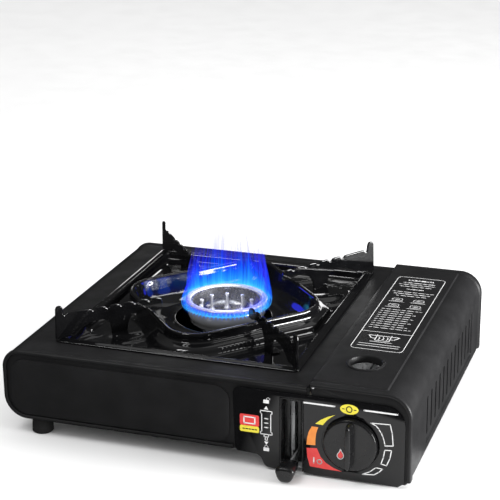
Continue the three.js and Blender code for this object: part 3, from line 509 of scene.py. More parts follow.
PAN_X = (PAN_LOW.x + PAN_HIGH.x) / 2
PAN_Y = (PAN_LOW.y + PAN_HIGH.y) / 2
PAN_HALF_X = (PAN_HIGH.x - PAN_LOW.x) / 2
PAN_HALF_Y = (PAN_HIGH.y - PAN_LOW.y) / 2
PAN_EDGE_Z = 76.1
PLATE_Z = 69.0
RIM_Z = PAN_HIGH.z
WELL_Z = 61.5
HOLE_RADIUS = 42.0
EMBOSS = [(-67.6, -65.6), (67.6, 65.6)]


def square_radius(angle, half_x, half_y, corner):
    c, s = abs(math.cos(angle)), abs(math.sin(angle))
    straight = min(half_x / max(c, 1e-9), half_y / max(s, 1e-9))
    cx, cy = half_x - corner, half_y - corner
    if straight * c <= cx or straight * s <= cy:
        return straight
    along = c * cx + s * cy
    return along + math.sqrt(max(along * along - cx * cx - cy * cy + corner * corner, 0))


def diamond_radius(angle, grow):
    half_x, half_y, corner = 83 + grow, 93 + grow, max(26 + grow, 8)
    stretch = half_y / half_x
    flat = math.atan2(math.sin(angle) / stretch, math.cos(angle))
    half = (half_x + corner * (math.sqrt(2) - 1)) / math.sqrt(2)
    radius = square_radius(flat + math.pi / 4, half, half, corner)
    return math.hypot(radius * math.cos(flat), radius * math.sin(flat) * stretch)


def pan_edge(inset):
    return lambda a: square_radius(a, PAN_HALF_X - inset, PAN_HALF_Y - inset, max(5 - inset, 1.5))


def diamond(grow):
    return lambda a: diamond_radius(a, grow)


def under_edge(grow):
    return lambda a: min(diamond_radius(a, grow), pan_edge(12.6)(a) - 1.5 + 0.1 * grow - 2)


def mixed(first, second, share):
    return lambda a: first(a) * (1 - share) + second(a) * share


def pan_rings():
    """(radius by direction, height, height where a corner emboss cuts the ledge away)."""
    edge = [(0, -1.3), (0.1, -0.8), (0.5, -0.5), (1.1, -0.45), (1.7, -0.6), (2.3, -0.55), (4.5, -0.1)]
    edge += [(6, 0.1), (7, 0.05), (7.7, -0.35), (8.4, -1.2)]
    rings = [(pan_edge(i), PAN_EDGE_Z + dz, PAN_EDGE_Z + dz) for i, dz in edge]
    wall = [(9, 73.4), (9.6, 71.6), (10.2, 70.2), (10.9, 69.3), (12, PLATE_Z)]
    rings += [(pan_edge(i), z, z) for i, z in wall]
    plate = [0.12, 0.25, 0.38, 0.5, 0.62, 0.74, 0.86]
    rings += [(mixed(pan_edge(12.3), under_edge(17.5), t), PLATE_Z, PLATE_Z) for t in plate]
    slope = [(17.5, 69), (16, 69.2), (14.6, 70), (13.6, 71.4), (12.7, 72.9), (11.9, 74), (11, 74.6)]
    ledge = [(9.6, 75.0), (8, 75.4), (6.4, 75.8), (4.8, 76.2), (3.7, 76.6)]
    rings += [(under_edge(g), z, PLATE_Z) for g, z in slope + ledge]
    wall = [(3.1, 77.2, 72), (2.8, 78.6, 75.4), (2.6, 80.2, 79), (2.6, 81.8, 81.6)]
    rings += [(diamond(g), z, low) for g, z, low in wall]
    roll = [(2.5, -1.5), (2.3, -0.8), (1.9, -0.25), (1.2, 0.0), (0.4, -0.02), (-0.4, -0.3)]
    roll += [(-1.0, -0.9), (-1.4, -1.8)]
    rings += [(diamond(g), RIM_Z + dz, RIM_Z + dz) for g, dz in roll]
    bowl = [(-2.0, 80.4), (-2.9, 77.5), (-4.0, 74.5), (-5.5, 71.4), (-7.5, 68.6), (-10, 66.2)]
    rings += [(diamond(g), z, z) for g, z in bowl]
    floor = [(0.25, 64.4), (0.5, 63.0), (0.72, 62.0), (0.88, WELL_Z)]
    rings += [(mixed(diamond(-11), lambda a: 55.0, t), z, z) for t, z in floor]
    hub = [(52, 0), (48, 0.1), (45.5, 0.6), (44.2, 1.7), (43.4, 2.7)]
    hub += [(42.7, 3.0), (HOLE_RADIUS, 2.8), (HOLE_RADIUS, 1.6)]
    rings += [((lambda a, r=r: r), WELL_Z + z, WELL_Z + z) for r, z in hub]
    return rings


def pan_directions(steps=58, bunching=0.1):
    corner = math.atan2(PAN_HALF_Y, PAN_HALF_X)
    directions = []
    for quarter in range(4):
        first = corner if quarter % 2 == 0 else math.pi / 2 - corner
        for start, end in ((0, first), (first, math.pi / 2)):
            for i in range(steps):
                t = i / steps
                eased = t - bunching * math.sin(2 * math.pi * t)
                directions.append(quarter * math.pi / 2 + start + (end - start) * eased)
    return directions


def emboss_height(dx, dy):
    """Pressed ring and lens round a support's middle leg: (added height, share cut off the ledge)."""
    lift, clear = 0.0, 0.0
    for cx, cy in EMBOSS:
        r = math.hypot(dx - cx, dy - cy)
        lift += 1.7 * math.exp(-(((r - 31) / 2.1) ** 2))
        lift += 2.2 * smooth((25 - r) / 9) * (1 - 0.25 * smooth((12 - r) / 8))
        clear = max(clear, smooth((33.5 - r) / 2.6))
    return lift, clear


pan = Form()
loops = []
for radius_at, height, cleared in pan_rings():
    loop = []
    for angle in pan_directions():
        radius = radius_at(angle)
        dx, dy = radius * math.cos(angle), radius * math.sin(angle)
        lift, clear = emboss_height(dx, dy)
        z = height + (cleared - height) * clear
        on_plate = smooth((PLATE_Z + 3.5 - z) / 3) * smooth((z - PLATE_Z + 1.2) / 1.0)
        on_plate *= smooth((radius - diamond_radius(angle, 3.2)) / 4)
        loop.append((PAN_X + dx, PAN_Y + dy, z + lift * on_plate))
    loops.append(loop)
pan.loft(loops, caps=False)
pan_piece = make("enamelled_pan", pan, LOOKS["enamel"], "pan", ("drip_pan",), sharp=60)
thick = pan_piece.modifiers.new("sheet", "SOLIDIFY")
thick.thickness = 1.1 * MM
thick.offset = -1

# Short pressed ribs on the slope below the ledge, on the two sides that carry no corner emboss.
ribs = Form()
RIB_COUNT = 10
RIB_SECTIONS = ((15.6, 69.4, 0.2, 0), (14.9, 69.9, 0.6, 0.2), (14.2, 70.7, 0.75, 0.4),
                (13.1, 72.4, 0.75, 0.4), (12.3, 73.6, 0.6, 0.2), (11.6, 74.2, 0.2, 0))
ALONG_SLOPE = Vector((0.667, 0.745)).normalized()
OFF_SLOPE = Vector((ALONG_SLOPE.y, -ALONG_SLOPE.x))
for side in (1, -1):
    for i in range(RIB_COUNT):
        t = i / (RIB_COUNT - 1)
        angle = math.atan2(-84 + 24 * t, 29 + 21 * t)
        direction = Vector((math.cos(angle), math.sin(angle)))
        loops = []
        for grow, z, width, lift in RIB_SECTIONS:
            centre = direction * diamond_radius(angle, grow)
            loop = []
            for step in range(8):
                turn = 2 * math.pi * step / 8
                offset = ALONG_SLOPE * (width * math.cos(turn))
                offset += OFF_SLOPE * ((lift + 0.25) * math.sin(turn))
                place = (centre + offset) * side
                loop.append((PAN_X + place.x, PAN_Y + place.y, z))
            loops.append(loop)
        ribs.loft(loops)
make("pan_slope_ribs", ribs, LOOKS["enamel"], "pan", ())


# ------------------------------------------------------------------------------------ pan supports


def support_outline():
    foot = PLATE_Z + 0.3
    rest = PAN_EDGE_Z + 0.3
    outline = [(159, rest), (158.6, 90), (158.2, 102.5), (157, 104.6), (155, 105), (152.8, 104.4)]
    outline += [(151.8, 102), (151.2, 97), (150.4, 95.6), (149.4, 96.2), (147.6, 97.9)]
    outline += [(145, 98), (130, 97.1)]
    for i in range(5):
        x = 124 - 13 * i
        z = 97 - 0.45 * (i + 1)
        outline += arc(x, z + 0.4, 2.3, -8, -172, 8)
        if i < 4:
            outline += [(x - 4.4, z + 0.35), (x - 8.6, z + 0.2)]
    outline += [(65, 94.6), (62.4, 94), (60.9, 92.4), (60.2, 90), (60.2, RIM_Z + 0.4), (67, RIM_Z + 0.4)]
    outline += [(72, 86.8), (78, 87.4), (84, 86.4), (89, 83.6), (92, 79.5), (93.3, 74), (93.5, foot)]
    outline += [(108, foot), (108.2, 75), (109.2, 80.2), (112, 83.6), (116, 85.2), (121, 85.6)]
    outline += [(128, 85), (134, 82.6), (138.6, 79.6), (142, rest)]
    return outline


SUPPORTS = {"front_left": (-1, -1), "front_right": (1, -1), "rear_left": (-1, 1), "rear_right": (1, 1)}
for place, (sx, sy) in SUPPORTS.items():
    turn = math.atan2(sy * PAN_HALF_Y, sx * PAN_HALF_X)
    c, s = math.cos(turn), math.sin(turn)
    plate = Form()
    outline = support_outline()
    loops = []
    for side in (-1.0, 1.0):
        loops.append([(PAN_X + d * c - side * s, PAN_Y + d * s + side * c, z) for d, z in outline])
    plate.loft(loops)
    foot = []
    for d, w in ((93.7, 0.6), (107.8, 0.6), (107.8, 6.4), (106.4, 7.8), (95.1, 7.8), (93.7, 6.4)):
        foot.append((PAN_X + d * c - w * s, PAN_Y + d * s + w * c))
    plate.prism(foot, PLATE_Z + 0.35, PLATE_Z + 1.7, "xy")
    piece = make("support_" + place, plate, LOOKS["enamel"], "pan", ("pan_support_" + place,))
    round_edges(piece, 0.55, 4)


# ------------------------------------------------------------------------------------------ burner

RING_LOW, RING_HIGH = case_box("burner_flame_ring")
BX = (RING_LOW.x + RING_HIGH.x) / 2
BY = (RING_LOW.y + RING_HIGH.y) / 2
RING_OUT = (RING_HIGH.x - RING_LOW.x) / 2
RING_IN = RING_OUT - 5
RING_TOP = RING_HIGH.z

ring = Form()
ring.turned(
    [(RING_IN, RING_TOP - 4.4), (RING_IN + 0.1, RING_TOP - 1), (RING_IN + 0.5, RING_TOP - 0.25),
     (RING_IN + 1.2, RING_TOP), (RING_OUT - 1.6, RING_TOP), (RING_OUT - 0.7, RING_TOP - 0.2),
     (RING_OUT - 0.1, RING_TOP - 0.8), (RING_OUT, RING_TOP - 1.4), (RING_OUT - 0.4, RING_TOP - 1.9),
     (RING_OUT - 1.6, RING_TOP - 2), (RING_OUT - 1.8, RING_TOP - 4.9), (RING_IN + 1, RING_TOP - 4.9)],
    (BX, BY), "z", 128, closed=True,
)
TOOTH_COUNT = 60
for i in range(TOOTH_COUNT):
    angle = 2 * math.pi * i / TOOTH_COUNT
    c, s = math.cos(angle), math.sin(angle)
    tooth = []
    for inside, w in ((2.2, 0.75), (0.5, 0.75), (0.5, -0.75), (2.2, -0.75)):
        r = RING_OUT - inside
        tooth.append((BX + r * c - w * s, BY + r * s + w * c))
    ring.prism(tooth, RING_TOP - 4.9, RING_TOP - 1.8, "xy")
make("flame_ring", ring, LOOKS["bright_steel"], "body", ("burner_flame_ring",))

casting = Form()
casting.turned(
    [(0.5, 38), (18, 38), (20.5, 38.6), (21.8, 40.4), (22, 44), (22, 53), (23, 55.6), (27, 59.4),
     (31, 63), (33, 65.6), (34, 68.6), (34.3, 71), (34.3, 76.2), (34, 76.5), (32.4, 76.5), (32, 76),
     (32, 62), (31, 61), (0.5, 61)],
    (BX, BY), "z", 96,
)
make("burner_body", casting, BURNER_METAL, "body", ("burner_casting",), sharp=50)

cup = Form()
CUP_OUT = RING_IN - 0.35
cup.turned(
    [(3.0, 61.3), (24, 61.3), (27, 62.6), (29.6, 65.2), (CUP_OUT, 68.5), (CUP_OUT, 79.6),
     (CUP_OUT - 0.5, 80), (CUP_OUT - 1, 79.6), (CUP_OUT - 1, 69.5), (28.4, 66.4), (26, 64.2),
     (23.5, 62.9), (14, 62.6), (13, 63), (9, 63.1), (3.0, 63.1)],
    (BX, BY), "z", 96, closed=True,
)
cup_piece = make("inner_cup", cup, CUP_STEEL, "body", ("burner_inner_cup",), sharp=50)
sight_hole = Form()
sight_hole.prism(arc(BX - 10, BY - 9.5, 3.4, 0, 345, 23), 60.9, 64.4, "xy")
carve(cup_piece, sight_hole)
jets = Form()
JET_COUNT = 10
for i in range(JET_COUNT):
    angle = 2 * math.pi * i / JET_COUNT
    centre = (BX + 23 * math.cos(angle), BY + 23 * math.sin(angle))
    jets.turned(
        [(0.2, 62.9), (3.1, 62.9), (2.9, 63.6), (2.0, 64.4), (1.45, 65.6), (1.3, 69), (1.3, 74.4),
         (1.7, 75.2), (1.8, 76.2), (1.4, 77), (0.9, 77.1), (0.7, 76.4), (0.2, 76.2)],
        centre, "z", 16,
    )
make("cup_jets", jets, LOOKS["bright_steel"], "body", ())
screw = Form()
screw.turned(
    [(0.2, 61.4), (2.1, 61.4), (2.1, 63.3), (4.6, 63.3), (4.8, 63.8), (4.7, 65), (4.1, 65.9),
     (2.8, 66.5), (0.2, 66.7)],
    (BX, BY), "z", 32,
)
head = make("cup_screw", screw, LOOKS["brass"], "body", ("burner_screw",))
for half_x, half_y in ((2.7, 0.5), (0.5, 2.7)):
    cross = Form()
    cross.prism(rounded(BX - half_x, BX + half_x, BY - half_y, BY + half_y, 0.2, 2), 65.6, 68, "xy")
    carve(head, cross)


# ----------------------------------------------------------------------------- knob and lever grips

KNOB_LOW, KNOB_HIGH = case_box("control_knob")
KX = (KNOB_LOW.x + KNOB_HIGH.x) / 2
KZ = (KNOB_LOW.z + KNOB_HIGH.z) / 2
KNOB_R = (KNOB_HIGH.x - KNOB_LOW.x) / 2
KNOB_FRONT = KNOB_LOW.y
KNOB_FACE = KNOB_FRONT + 7.3
KNOB_BACK = KNOB_HIGH.y

disc = Form()
disc.turned(
    [(0.3, KNOB_FACE + 0.45), (13, KNOB_FACE + 0.4), (17.6, KNOB_FACE + 0.1), (19.4, KNOB_FACE),
     (20.3, KNOB_FACE + 0.1), (20.9, KNOB_FACE + 0.45), (21.2, KNOB_FACE + 1.1),
     (21.4, KNOB_FACE + 2), (KNOB_R, KNOB_BACK - 0.4),
     (KNOB_R - 0.3, KNOB_BACK), (0.3, KNOB_BACK)],
    (KX, KZ), "y", 96,
)
ridge_rings = []
RIDGE = ((KNOB_FACE + 1.0, 4.2, 19.6), (KNOB_FACE + 0.1, 3.6, 19.2), (KNOB_FACE - 1.6, 2.9, 18.8),
         (KNOB_FACE - 4.2, 2.5, 18.4), (KNOB_FRONT + 1.0, 2.2, 18.0), (KNOB_FRONT + 0.3, 1.9, 17.6),
         (KNOB_FRONT, 1.3, 17.0))
for depth, width, height in RIDGE:
    section = []
    for step in range(48):
        turn = 2 * math.pi * step / 48
        c, s = math.cos(turn), math.sin(turn)
        u = width * math.copysign(abs(c) ** 0.7, c)
        v = height * math.copysign(abs(s) ** 0.5, s)
        section.append((KX + u, depth, KZ + v))
    ridge_rings.append(section)
disc.loft(ridge_rings)
make("knob_grip", disc, LOOKS["black_plastic"], "knob", ("control_knob",), sharp=50)

GRIP_LOW, GRIP_HIGH = case_box("lever_knob")
GX = (GRIP_LOW.x + GRIP_HIGH.x) / 2
grip = Form()
loops = []
grip_sections = ((GRIP_HIGH.y, 6.4, 3.6, 12.6), (-4, 6.8, 2.6, 13.2), (-11, 7.5, 1.7, 13.8),
                 (-16, 7.8, 1.2, 14), (-18.6, 7.5, 1.5, 13.7), (GRIP_LOW.y + 0.3, 6.6, 2.6, 12.8),
                 (GRIP_LOW.y, 5, 4, 11.4))
for y, half, low, high in grip_sections:
    loop = []
    for step in range(40):
        turn = 2 * math.pi * step / 40
        c, s = math.cos(turn), math.sin(turn)
        v = (low + high) / 2 + (high - low) / 2 * math.copysign(abs(s) ** 0.62, s)
        taper = 0.72 + 0.28 * smooth((v - low) / (0.75 * (high - low)))
        u = half * taper * math.copysign(abs(c) ** 0.55, c)
        loop.append((GX + u, y, v))
    loops.append(loop)
grip.loft(loops)
make("lever_grip", grip, LOOKS["black_plastic"], "lever", ("lever_knob",), sharp=60)


# ----------------------------------------------------------------------------------- printed marks

FASCIA_FRONT = case_box("control_fascia")[0].y
INK_DEPTH = (FASCIA_FRONT - 0.12, FASCIA_FRONT + 0.05)
LID_INK = (LID_TOP - 0.05, LID_TOP + 0.09)


def stroke(form, points, width, depths, plane, closed=False):
    """Straight bars of one width through the points, with round joints."""
    pairs = list(zip(points, points[1:] + points[:1])) if closed else list(zip(points, points[1:]))
    for (x0, y0), (x1, y1) in pairs:
        length = math.hypot(x1 - x0, y1 - y0)
        ux, uy = (x1 - x0) / length * width / 2, (y1 - y0) / length * width / 2
        bar = [(x0 - uy, y0 + ux), (x0 + uy, y0 - ux), (x1 + uy, y1 - ux), (x1 - uy, y1 + ux)]
        form.prism(bar, *depths, plane)
    for x, y in points:
        form.prism(arc(x, y, width / 2, 0, 330, 11), *depths, plane)


def printed(name, form, look, body):
    make(name, form, look, body, ())


white = Form()
stroke(white, [(257.2, 62.2), (282.4, 62.2)], 1.3, INK_DEPTH, "xz")
stroke(white, [(305.8, 62.2), (331.4, 62.2)], 1.3, INK_DEPTH, "xz")
inner_arc = arc(KX, KZ, 27.2, 50, 8, 6)
stroke(white, [(311, 52.4), (326.1, 53.2), (327.9, 46), (328.8, 35.7), (322.2, 34.9)] + inner_arc[::-1][:6],
       0.75, INK_DEPTH, "xz", True)
stroke(white, [(322.4, 31.3), (327.6, 31.7), (326.6, 25), (324, 18.4), (319.6, 19.2), (321.4, 25)],
       0.75, INK_DEPTH, "xz", True)
stroke(white, [(315.6, 15.4), (321, 15), (318, 11.8), (314.4, 9.2), (305.2, 8.2), (311, 11.2)],
       0.75, INK_DEPTH, "xz", True)
# Cartridge outline with an arrow and a padlock above and below it.
stroke(white, [(222.8, 50.6), (232.2, 50.6), (232.2, 48.6), (231.2, 48), (231.2, 33), (232.2, 32.4),
               (232.2, 30.6), (222.8, 30.6), (222.8, 32.4), (223.8, 33), (223.8, 48), (222.8, 48.6)],
       0.7, INK_DEPTH, "xz", True)
stroke(white, [(225.6, 30.4), (225.8, 28.4), (229.2, 28.4), (229.4, 30.4)], 0.7, INK_DEPTH, "xz")
stroke(white, [(226.6, 28.2), (226.6, 25.6), (228.4, 25.6), (228.4, 28.2)], 0.7, INK_DEPTH, "xz")
white.prism([(225.8, 52), (229.2, 52), (227.5, 54.8)], *INK_DEPTH)
white.prism([(225.8, 24.4), (227.5, 21.6), (229.2, 24.4)], *INK_DEPTH)
for z, shackle in ((57.2, 1.6), (16.2, 0)):
    white.prism(rounded(225.2, 229.8, z, z + 3, 0.4, 2), *INK_DEPTH)
    loop = [(x + shackle, v) for x, v in arc(227.5, z + 3.4, 1.4, 0, 180, 6)]
    stroke(white, loop, 0.55, INK_DEPTH, "xz")
for z in (36.5, 40.3, 44.1):
    stroke(white, [(226.2, z), (228.8, z)], 0.9, INK_DEPTH, "xz")
printed("fascia_print_white", white, WHITE_INK, "body")

yellow = Form()
STOP_X, STOP_Z = 294, 61.3
yellow.prism([(STOP_X + 7.2 * c, STOP_Z + 4.1 * s) for c, s in arc(0, 0, 1, 0, 352.5, 47)], *INK_DEPTH)
outer = [(283, 55.1), (277, 52.7), (271.5, 49.4), (267.2, 45.6)]
inner = [(273.2, 45.2), (276.4, 49.6), (280, 53)]
yellow.prism(outer + inner, *INK_DEPTH)
yellow.prism(rounded(205.8, 221.6, 30.7, 36, 1.2, 4), *INK_DEPTH)
printed("fascia_print_yellow", yellow, YELLOW_INK, "body")
orange = Form()
orange.prism([(264.4, 42.9), (262, 38), (260.6, 32.4), (260.3, 26.8), (267.4, 27.2), (267.4, 32),
              (268, 37.6), (269.6, 42.9)], *INK_DEPTH)
printed("fascia_print_orange", orange, ORANGE_INK, "body")
red = Form()
red.prism([(260.3, 24), (261, 16), (263, 8.6), (275, 8), (288.6, 7.9), (282, 10), (276, 13.4),
           (271.6, 18), (268.6, 24.9)], *INK_DEPTH)
red.prism(rounded(205.8, 221.6, 36.1, 45.7, 1.2, 4), *INK_DEPTH)
printed("fascia_print_red", red, RED_INK, "body")

OVER_INK = (INK_DEPTH[0] - 0.1, INK_DEPTH[1])
over_white = Form()
badge = [(209.2, 38.2), (218.2, 38.2), (218.2, 43.6), (209.2, 43.6)]
stroke(over_white, badge, 1.0, OVER_INK, "xz", True)
stroke(over_white, [(266.2, 12), (266.2, 16.4)], 1.0, OVER_INK, "xz")
stroke(over_white, arc(270.8, 13.6, 1.9, 0, 330, 11), 0.8, OVER_INK, "xz", True)
printed("fascia_print_over_white", over_white, WHITE_INK, "body")
over_black = Form()
zero = [(STOP_X + 2.2 * c, STOP_Z + 2.4 * s) for c, s in arc(0, 0, 1, 0, 330, 11)]
stroke(over_black, zero, 0.8, OVER_INK, "xz", True)
for x in (STOP_X - 4.6, STOP_X + 4.6):
    stroke(over_black, [(x - 0.8, STOP_Z), (x + 0.8, STOP_Z)], 0.7, OVER_INK, "xz")
for i in range(5):
    stroke(over_black, [(208.4 + 2.5 * i, 33.3), (209.6 + 2.5 * i, 33.3)], 0.9, OVER_INK, "xz")
printed("fascia_print_over_black", over_black, BLACK_INK, "body")

# Flame mark on the knob, lower left of its ridge.
FLAME_MARK = [(0, 4.4), (1.1, 2.4), (2.4, 0.4), (2.6, -1.6), (1.6, -3.4), (0, -4.1), (-1.7, -3.4),
              (-2.6, -1.6), (-2.3, 0.2), (-1.2, 1.4), (-0.6, 2.8)]
mark_x, mark_z = KX - 7.2, KZ - 8.2
mark_depth = (KNOB_FACE + 0.2, KNOB_FACE + 0.6)
mark = Form()
mark.prism([(mark_x + 0.82 * x, mark_z + 0.82 * z) for x, z in FLAME_MARK], *mark_depth)
printed("knob_print_red", mark, RED_INK, "knob")
mark = Form()
stroke(mark, [(mark_x + x, mark_z + z) for x, z in FLAME_MARK], 0.55, mark_depth, "xz", True)
printed("knob_print_white", mark, WHITE_INK, "knob")

# Framed panel on the lid: rows of plain dashes and a pot on a stove, with no lettering.
label = Form()
L0, L1, LF, LR, DIVIDER = 272.6, 315.5, 80.0, 254.0, 118.0
stroke(label, rounded(L0, L1, LF, LR, 4, 5), 0.5, LID_INK, "xy", True)
stroke(label, [(L0, DIVIDER), (L1, DIVIDER)], 0.45, LID_INK, "xy")


def dashes(y, start, end, seed, width=1.0):
    """One row of plain dashes of uneven length."""
    x = start
    step = 0
    while x < end - 1.5:
        size = 2.2 + (seed * 5 + step * 7) % 5
        stroke(label, [(x, y), (min(x + size, end), y)], width, LID_INK, "xy")
        x += size + 1.7
        step += 1


ROWS = ((246.5, 284, 305, 2.4), (240, 280, 308, 1.1), (235.2, 277, 311, 0.9), (230.4, 279, 309, 0.9),
        (223.6, 287, 301, 1.3), (216, 276, 312, 0.8), (211.2, 278, 312, 1.0), (206.4, 281, 307, 0.8))
for i, (y, start, end, width) in enumerate(ROWS):
    dashes(y, start, end, i, width)
for y in (196, 182):
    for x in (284.5, 303.5):
        stroke(label, rounded(x - 4.6, x + 4.6, y - 3, y + 3, 2.4, 3), 0.5, LID_INK, "xy", True)
        stroke(label, [(x - 2, y), (x + 2, y)], 0.9, LID_INK, "xy")
        stroke(label, [(x - 6.4, y - 4.8), (x + 6.4, y - 4.8)], 0.5, LID_INK, "xy")
for i in range(10):
    dashes(171.5 - 4.9 * i, 276.5, 311.5 - (i * 5) % 9, i + 3, 0.75)
stroke(label, [(281, 110), (307, 110)], 0.8, LID_INK, "xy")
stroke(label, [(281, 110), (284.6, 104), (288, 104)], 0.7, LID_INK, "xy")
stroke(label, [(307, 110), (303.4, 104), (300, 104)], 0.7, LID_INK, "xy")
stroke(label, [(288, 112), (288, 100), (300, 100), (300, 112)], 0.7, LID_INK, "xy")
for x in (290.5, 294, 297.5):
    stroke(label, [(x, 102), (x + 0.8, 105), (x - 0.4, 108)], 0.6, LID_INK, "xy")
stroke(label, [(285, 97), (303, 97)], 0.7, LID_INK, "xy")
for y in (91.5, 87):
    stroke(label, [(277, y), (311, y)], 0.6, LID_INK, "xy")
printed("lid_print", label, WHITE_INK, "lid")


# -------------------------------------------------------------------- finishes on the frame's nodes

SOFT_EDGE = {"front_panel": 0.9, "control_fascia": 0.45, "lever_guide": 0.3, "rear_panel": 0.3,
             "bay_tray": 0.2}
for part in frame["record"]["subparts"]:
    node = NODES[part["node"]]
    node.data.materials.clear()
    node.data.materials.append(LOOKS[part["material_slot"]])
    if not node.hide_render:
        node.data.shade_smooth()
        node.data.set_sharp_from_angle(angle=math.radians(32))
        round_edges(node, SOFT_EDGE.get(part["node"], 0.15), 2, 40, weld=True)


# ------------------------------------------------------------------------- camera, light, the stage

AZIMUTH, ELEVATION, ROLL = (math.radians(a) for a in (18.72, 19.11, -0.46))
EYE = Vector((0.3932, -1.1643, 0.5588))
away = Vector((math.sin(AZIMUTH) * math.cos(ELEVATION),
               -math.cos(AZIMUTH) * math.cos(ELEVATION),
               math.sin(ELEVATION)))
right = Vector((math.cos(AZIMUTH), math.sin(AZIMUTH), 0))
up = away.cross(right)
camera = bpy.data.objects.new("camera", bpy.data.cameras.new("camera"))
bpy.context.scene.collection.objects.link(camera)
rolled_right = right * math.cos(ROLL) + up * math.sin(ROLL)
rolled_up = up * math.cos(ROLL) - right * math.sin(ROLL)
pose = Matrix((rolled_right, rolled_up, away)).transposed().to_4x4()
pose.translation = EYE
camera.matrix_world = pose
camera.data.lens = 110.53
camera.data.sensor_width = 36
bpy.context.scene.camera = camera
bpy.context.scene.view_settings.view_transform = "Standard"


LIGHT_AIM = Vector((0, 0, 0.06))


def softbox(name, position, size_x, size_y, radiance):
    light = bpy.data.lights.new(name, "AREA")
    light.shape = "RECTANGLE"
    light.size = size_x
    light.size_y = size_y
    light.energy = radiance * math.pi * size_x * size_y
    lamp = bpy.data.objects.new(name, light)
    bpy.context.scene.collection.objects.link(lamp)
    lamp.location = position
    lamp.rotation_euler = (Vector(position) - LIGHT_AIM).to_track_quat("Z", "Y").to_euler()
    lamp.visible_camera = False


world = bpy.data.worlds.new("studio")
bpy.context.scene.world = world
world.use_nodes = True
tree = world.node_tree
background = tree.nodes["Background"]
direction = tree.nodes.new("ShaderNodeTexCoord")
split = tree.nodes.new("ShaderNodeSeparateXYZ")
tree.links.new(direction.outputs["Generated"], split.inputs["Vector"])


def gradient(from_min, from_max, low, high):
    node = tree.nodes.new("ShaderNodeMapRange")
    node.interpolation_type = "SMOOTHSTEP"
    node.inputs["From Min"].default_value = from_min
    node.inputs["From Max"].default_value = from_max
    node.inputs["To Min"].default_value = low
    node.inputs["To Max"].default_value = high
    tree.links.new(split.outputs["Z"], node.inputs["Value"])
    return node.outputs["Result"]


ray = tree.nodes.new("ShaderNodeLightPath")
choose = tree.nodes.new("ShaderNodeMix")
tree.links.new(ray.outputs["Is Glossy Ray"], choose.inputs["Factor"])
tree.links.new(gradient(0.0, 1.0, 0.55, 1.1), choose.inputs["A"])
tree.links.new(gradient(0.35, 0.9, 0.04, 0.2), choose.inputs["B"])
tree.links.new(choose.outputs["Result"], background.inputs["Strength"])
background.inputs["Color"].default_value = (1, 1, 1, 1)

softbox("box_front_left", (-0.62, -0.72, 1.5), 0.16, 0.6, 15)
softbox("box_front_right", (-0.36, -0.82, 1.5), 0.1, 0.6, 15)
softbox("box_right", (1.5, 0.1, 0.24), 1.0, 0.38, 52)
softbox("box_high_right", (0.95, 0.27, 1.26), 0.45, 0.4, 7)
softbox("box_top_back", (-0.1, 1.2, 1.35), 1.5, 0.5, 0.3)
softbox("box_rear_left", (-0.66, 1.54, 0.73), 0.11, 0.1, 5)

bpy.ops.mesh.primitive_plane_add(size=40)
floor = bpy.context.object
floor.name = "floor"
paper = Look("floor_paper", 0.7)
paper.colour(paper.noise(3, 3), [(0.3, (0.88, 0.88, 0.88)), (0.7, (0.9, 0.9, 0.9))])
paper.rough(paper.noise(20, 3), 0.65, 0.8)
# Polished surfaces see the paper only in front of the controls, as if it lay in a dark studio.
reach = paper.tree.nodes.new("ShaderNodeVectorMath")
reach.operation = "DISTANCE"
reach.inputs[1].default_value = (0.15, -0.19, 0)
paper.link(paper.where, reach.inputs[0])
far = paper.spread(reach.outputs["Value"], 0.0, 1.0, 0.115, 0.135)
glossy = paper.tree.nodes.new("ShaderNodeLightPath").outputs["Is Glossy Ray"]
dark = paper.tree.nodes.new("ShaderNodeBsdfDiffuse")
dark.inputs["Color"].default_value = (0.02, 0.02, 0.02, 1)
paper.blend(paper.times(far, glossy), paper.shader.outputs["BSDF"], dark.outputs["BSDF"])
floor.data.materials.append(paper.material)


# ------------------------------------------------------------------ lit flame, part of the stage only

# Cover and colour from the foot of a flame (0) to its tip (1).
FLAME_COVER = ((0.0, 0.7), (0.1, 0.6), (0.35, 0.46), (0.65, 0.2), (1.0, 0.0))
FLAME_HUES = ((0.0, (0.1, 0.75, 1.0)), (0.12, (0.02, 0.3, 1.0)), (0.4, (0.0, 0.05, 1.0)),
              (1.0, (0.07, 0.02, 0.9)))


def flame_material(name, strength):
    look = Look(name, 0.5)
    nodes = look.tree.nodes
    rise = look.attribute("rise")
    across = nodes.new("ShaderNodeCombineXYZ")
    look.link(look.attribute("turn"), across.inputs["X"])
    look.link(look.times(rise, 0.9), across.inputs["Y"])
    streaks = nodes.new("ShaderNodeTexNoise")
    streaks.inputs["Scale"].default_value = 1.0
    streaks.inputs["Detail"].default_value = 3
    look.link(across.outputs["Vector"], streaks.inputs["Vector"])
    tongue = look.spread(streaks.outputs["Fac"], 0.1, 1.0, 0.36, 0.62)
    cover = look.ramp(rise, [(position, (level, level, level)) for position, level in FLAME_COVER])
    glow = nodes.new("ShaderNodeEmission")
    glow.inputs["Strength"].default_value = strength
    look.link(look.ramp(rise, FLAME_HUES), glow.inputs["Color"])
    clear = nodes.new("ShaderNodeBsdfTransparent")
    look.blend(look.times(cover, tongue), clear.outputs["BSDF"], glow.outputs["Emission"])
    nodes.remove(look.shader)
    return look.material


FLAME = flame_material("flame_glow", 1.6)


def flame_sheet(name, form, rises, turns):
    """A staged sheet of flame: how far up each point is, and where along its streaks."""
    sheet = make(name, form, FLAME, sharp=180)
    for measure, values in (("rise", rises), ("turn", turns)):
        sheet.data.attributes.new(measure, "FLOAT", "POINT").data.foreach_set("value", values)
    sheet.visible_shadow = False


FLAME_TURNS = 288
FLAME_STEPS = 16
FLAME_FOOT = RING_TOP - 4.4
FRONT_HEIGHT = 6
REAR_EXTRA = 50
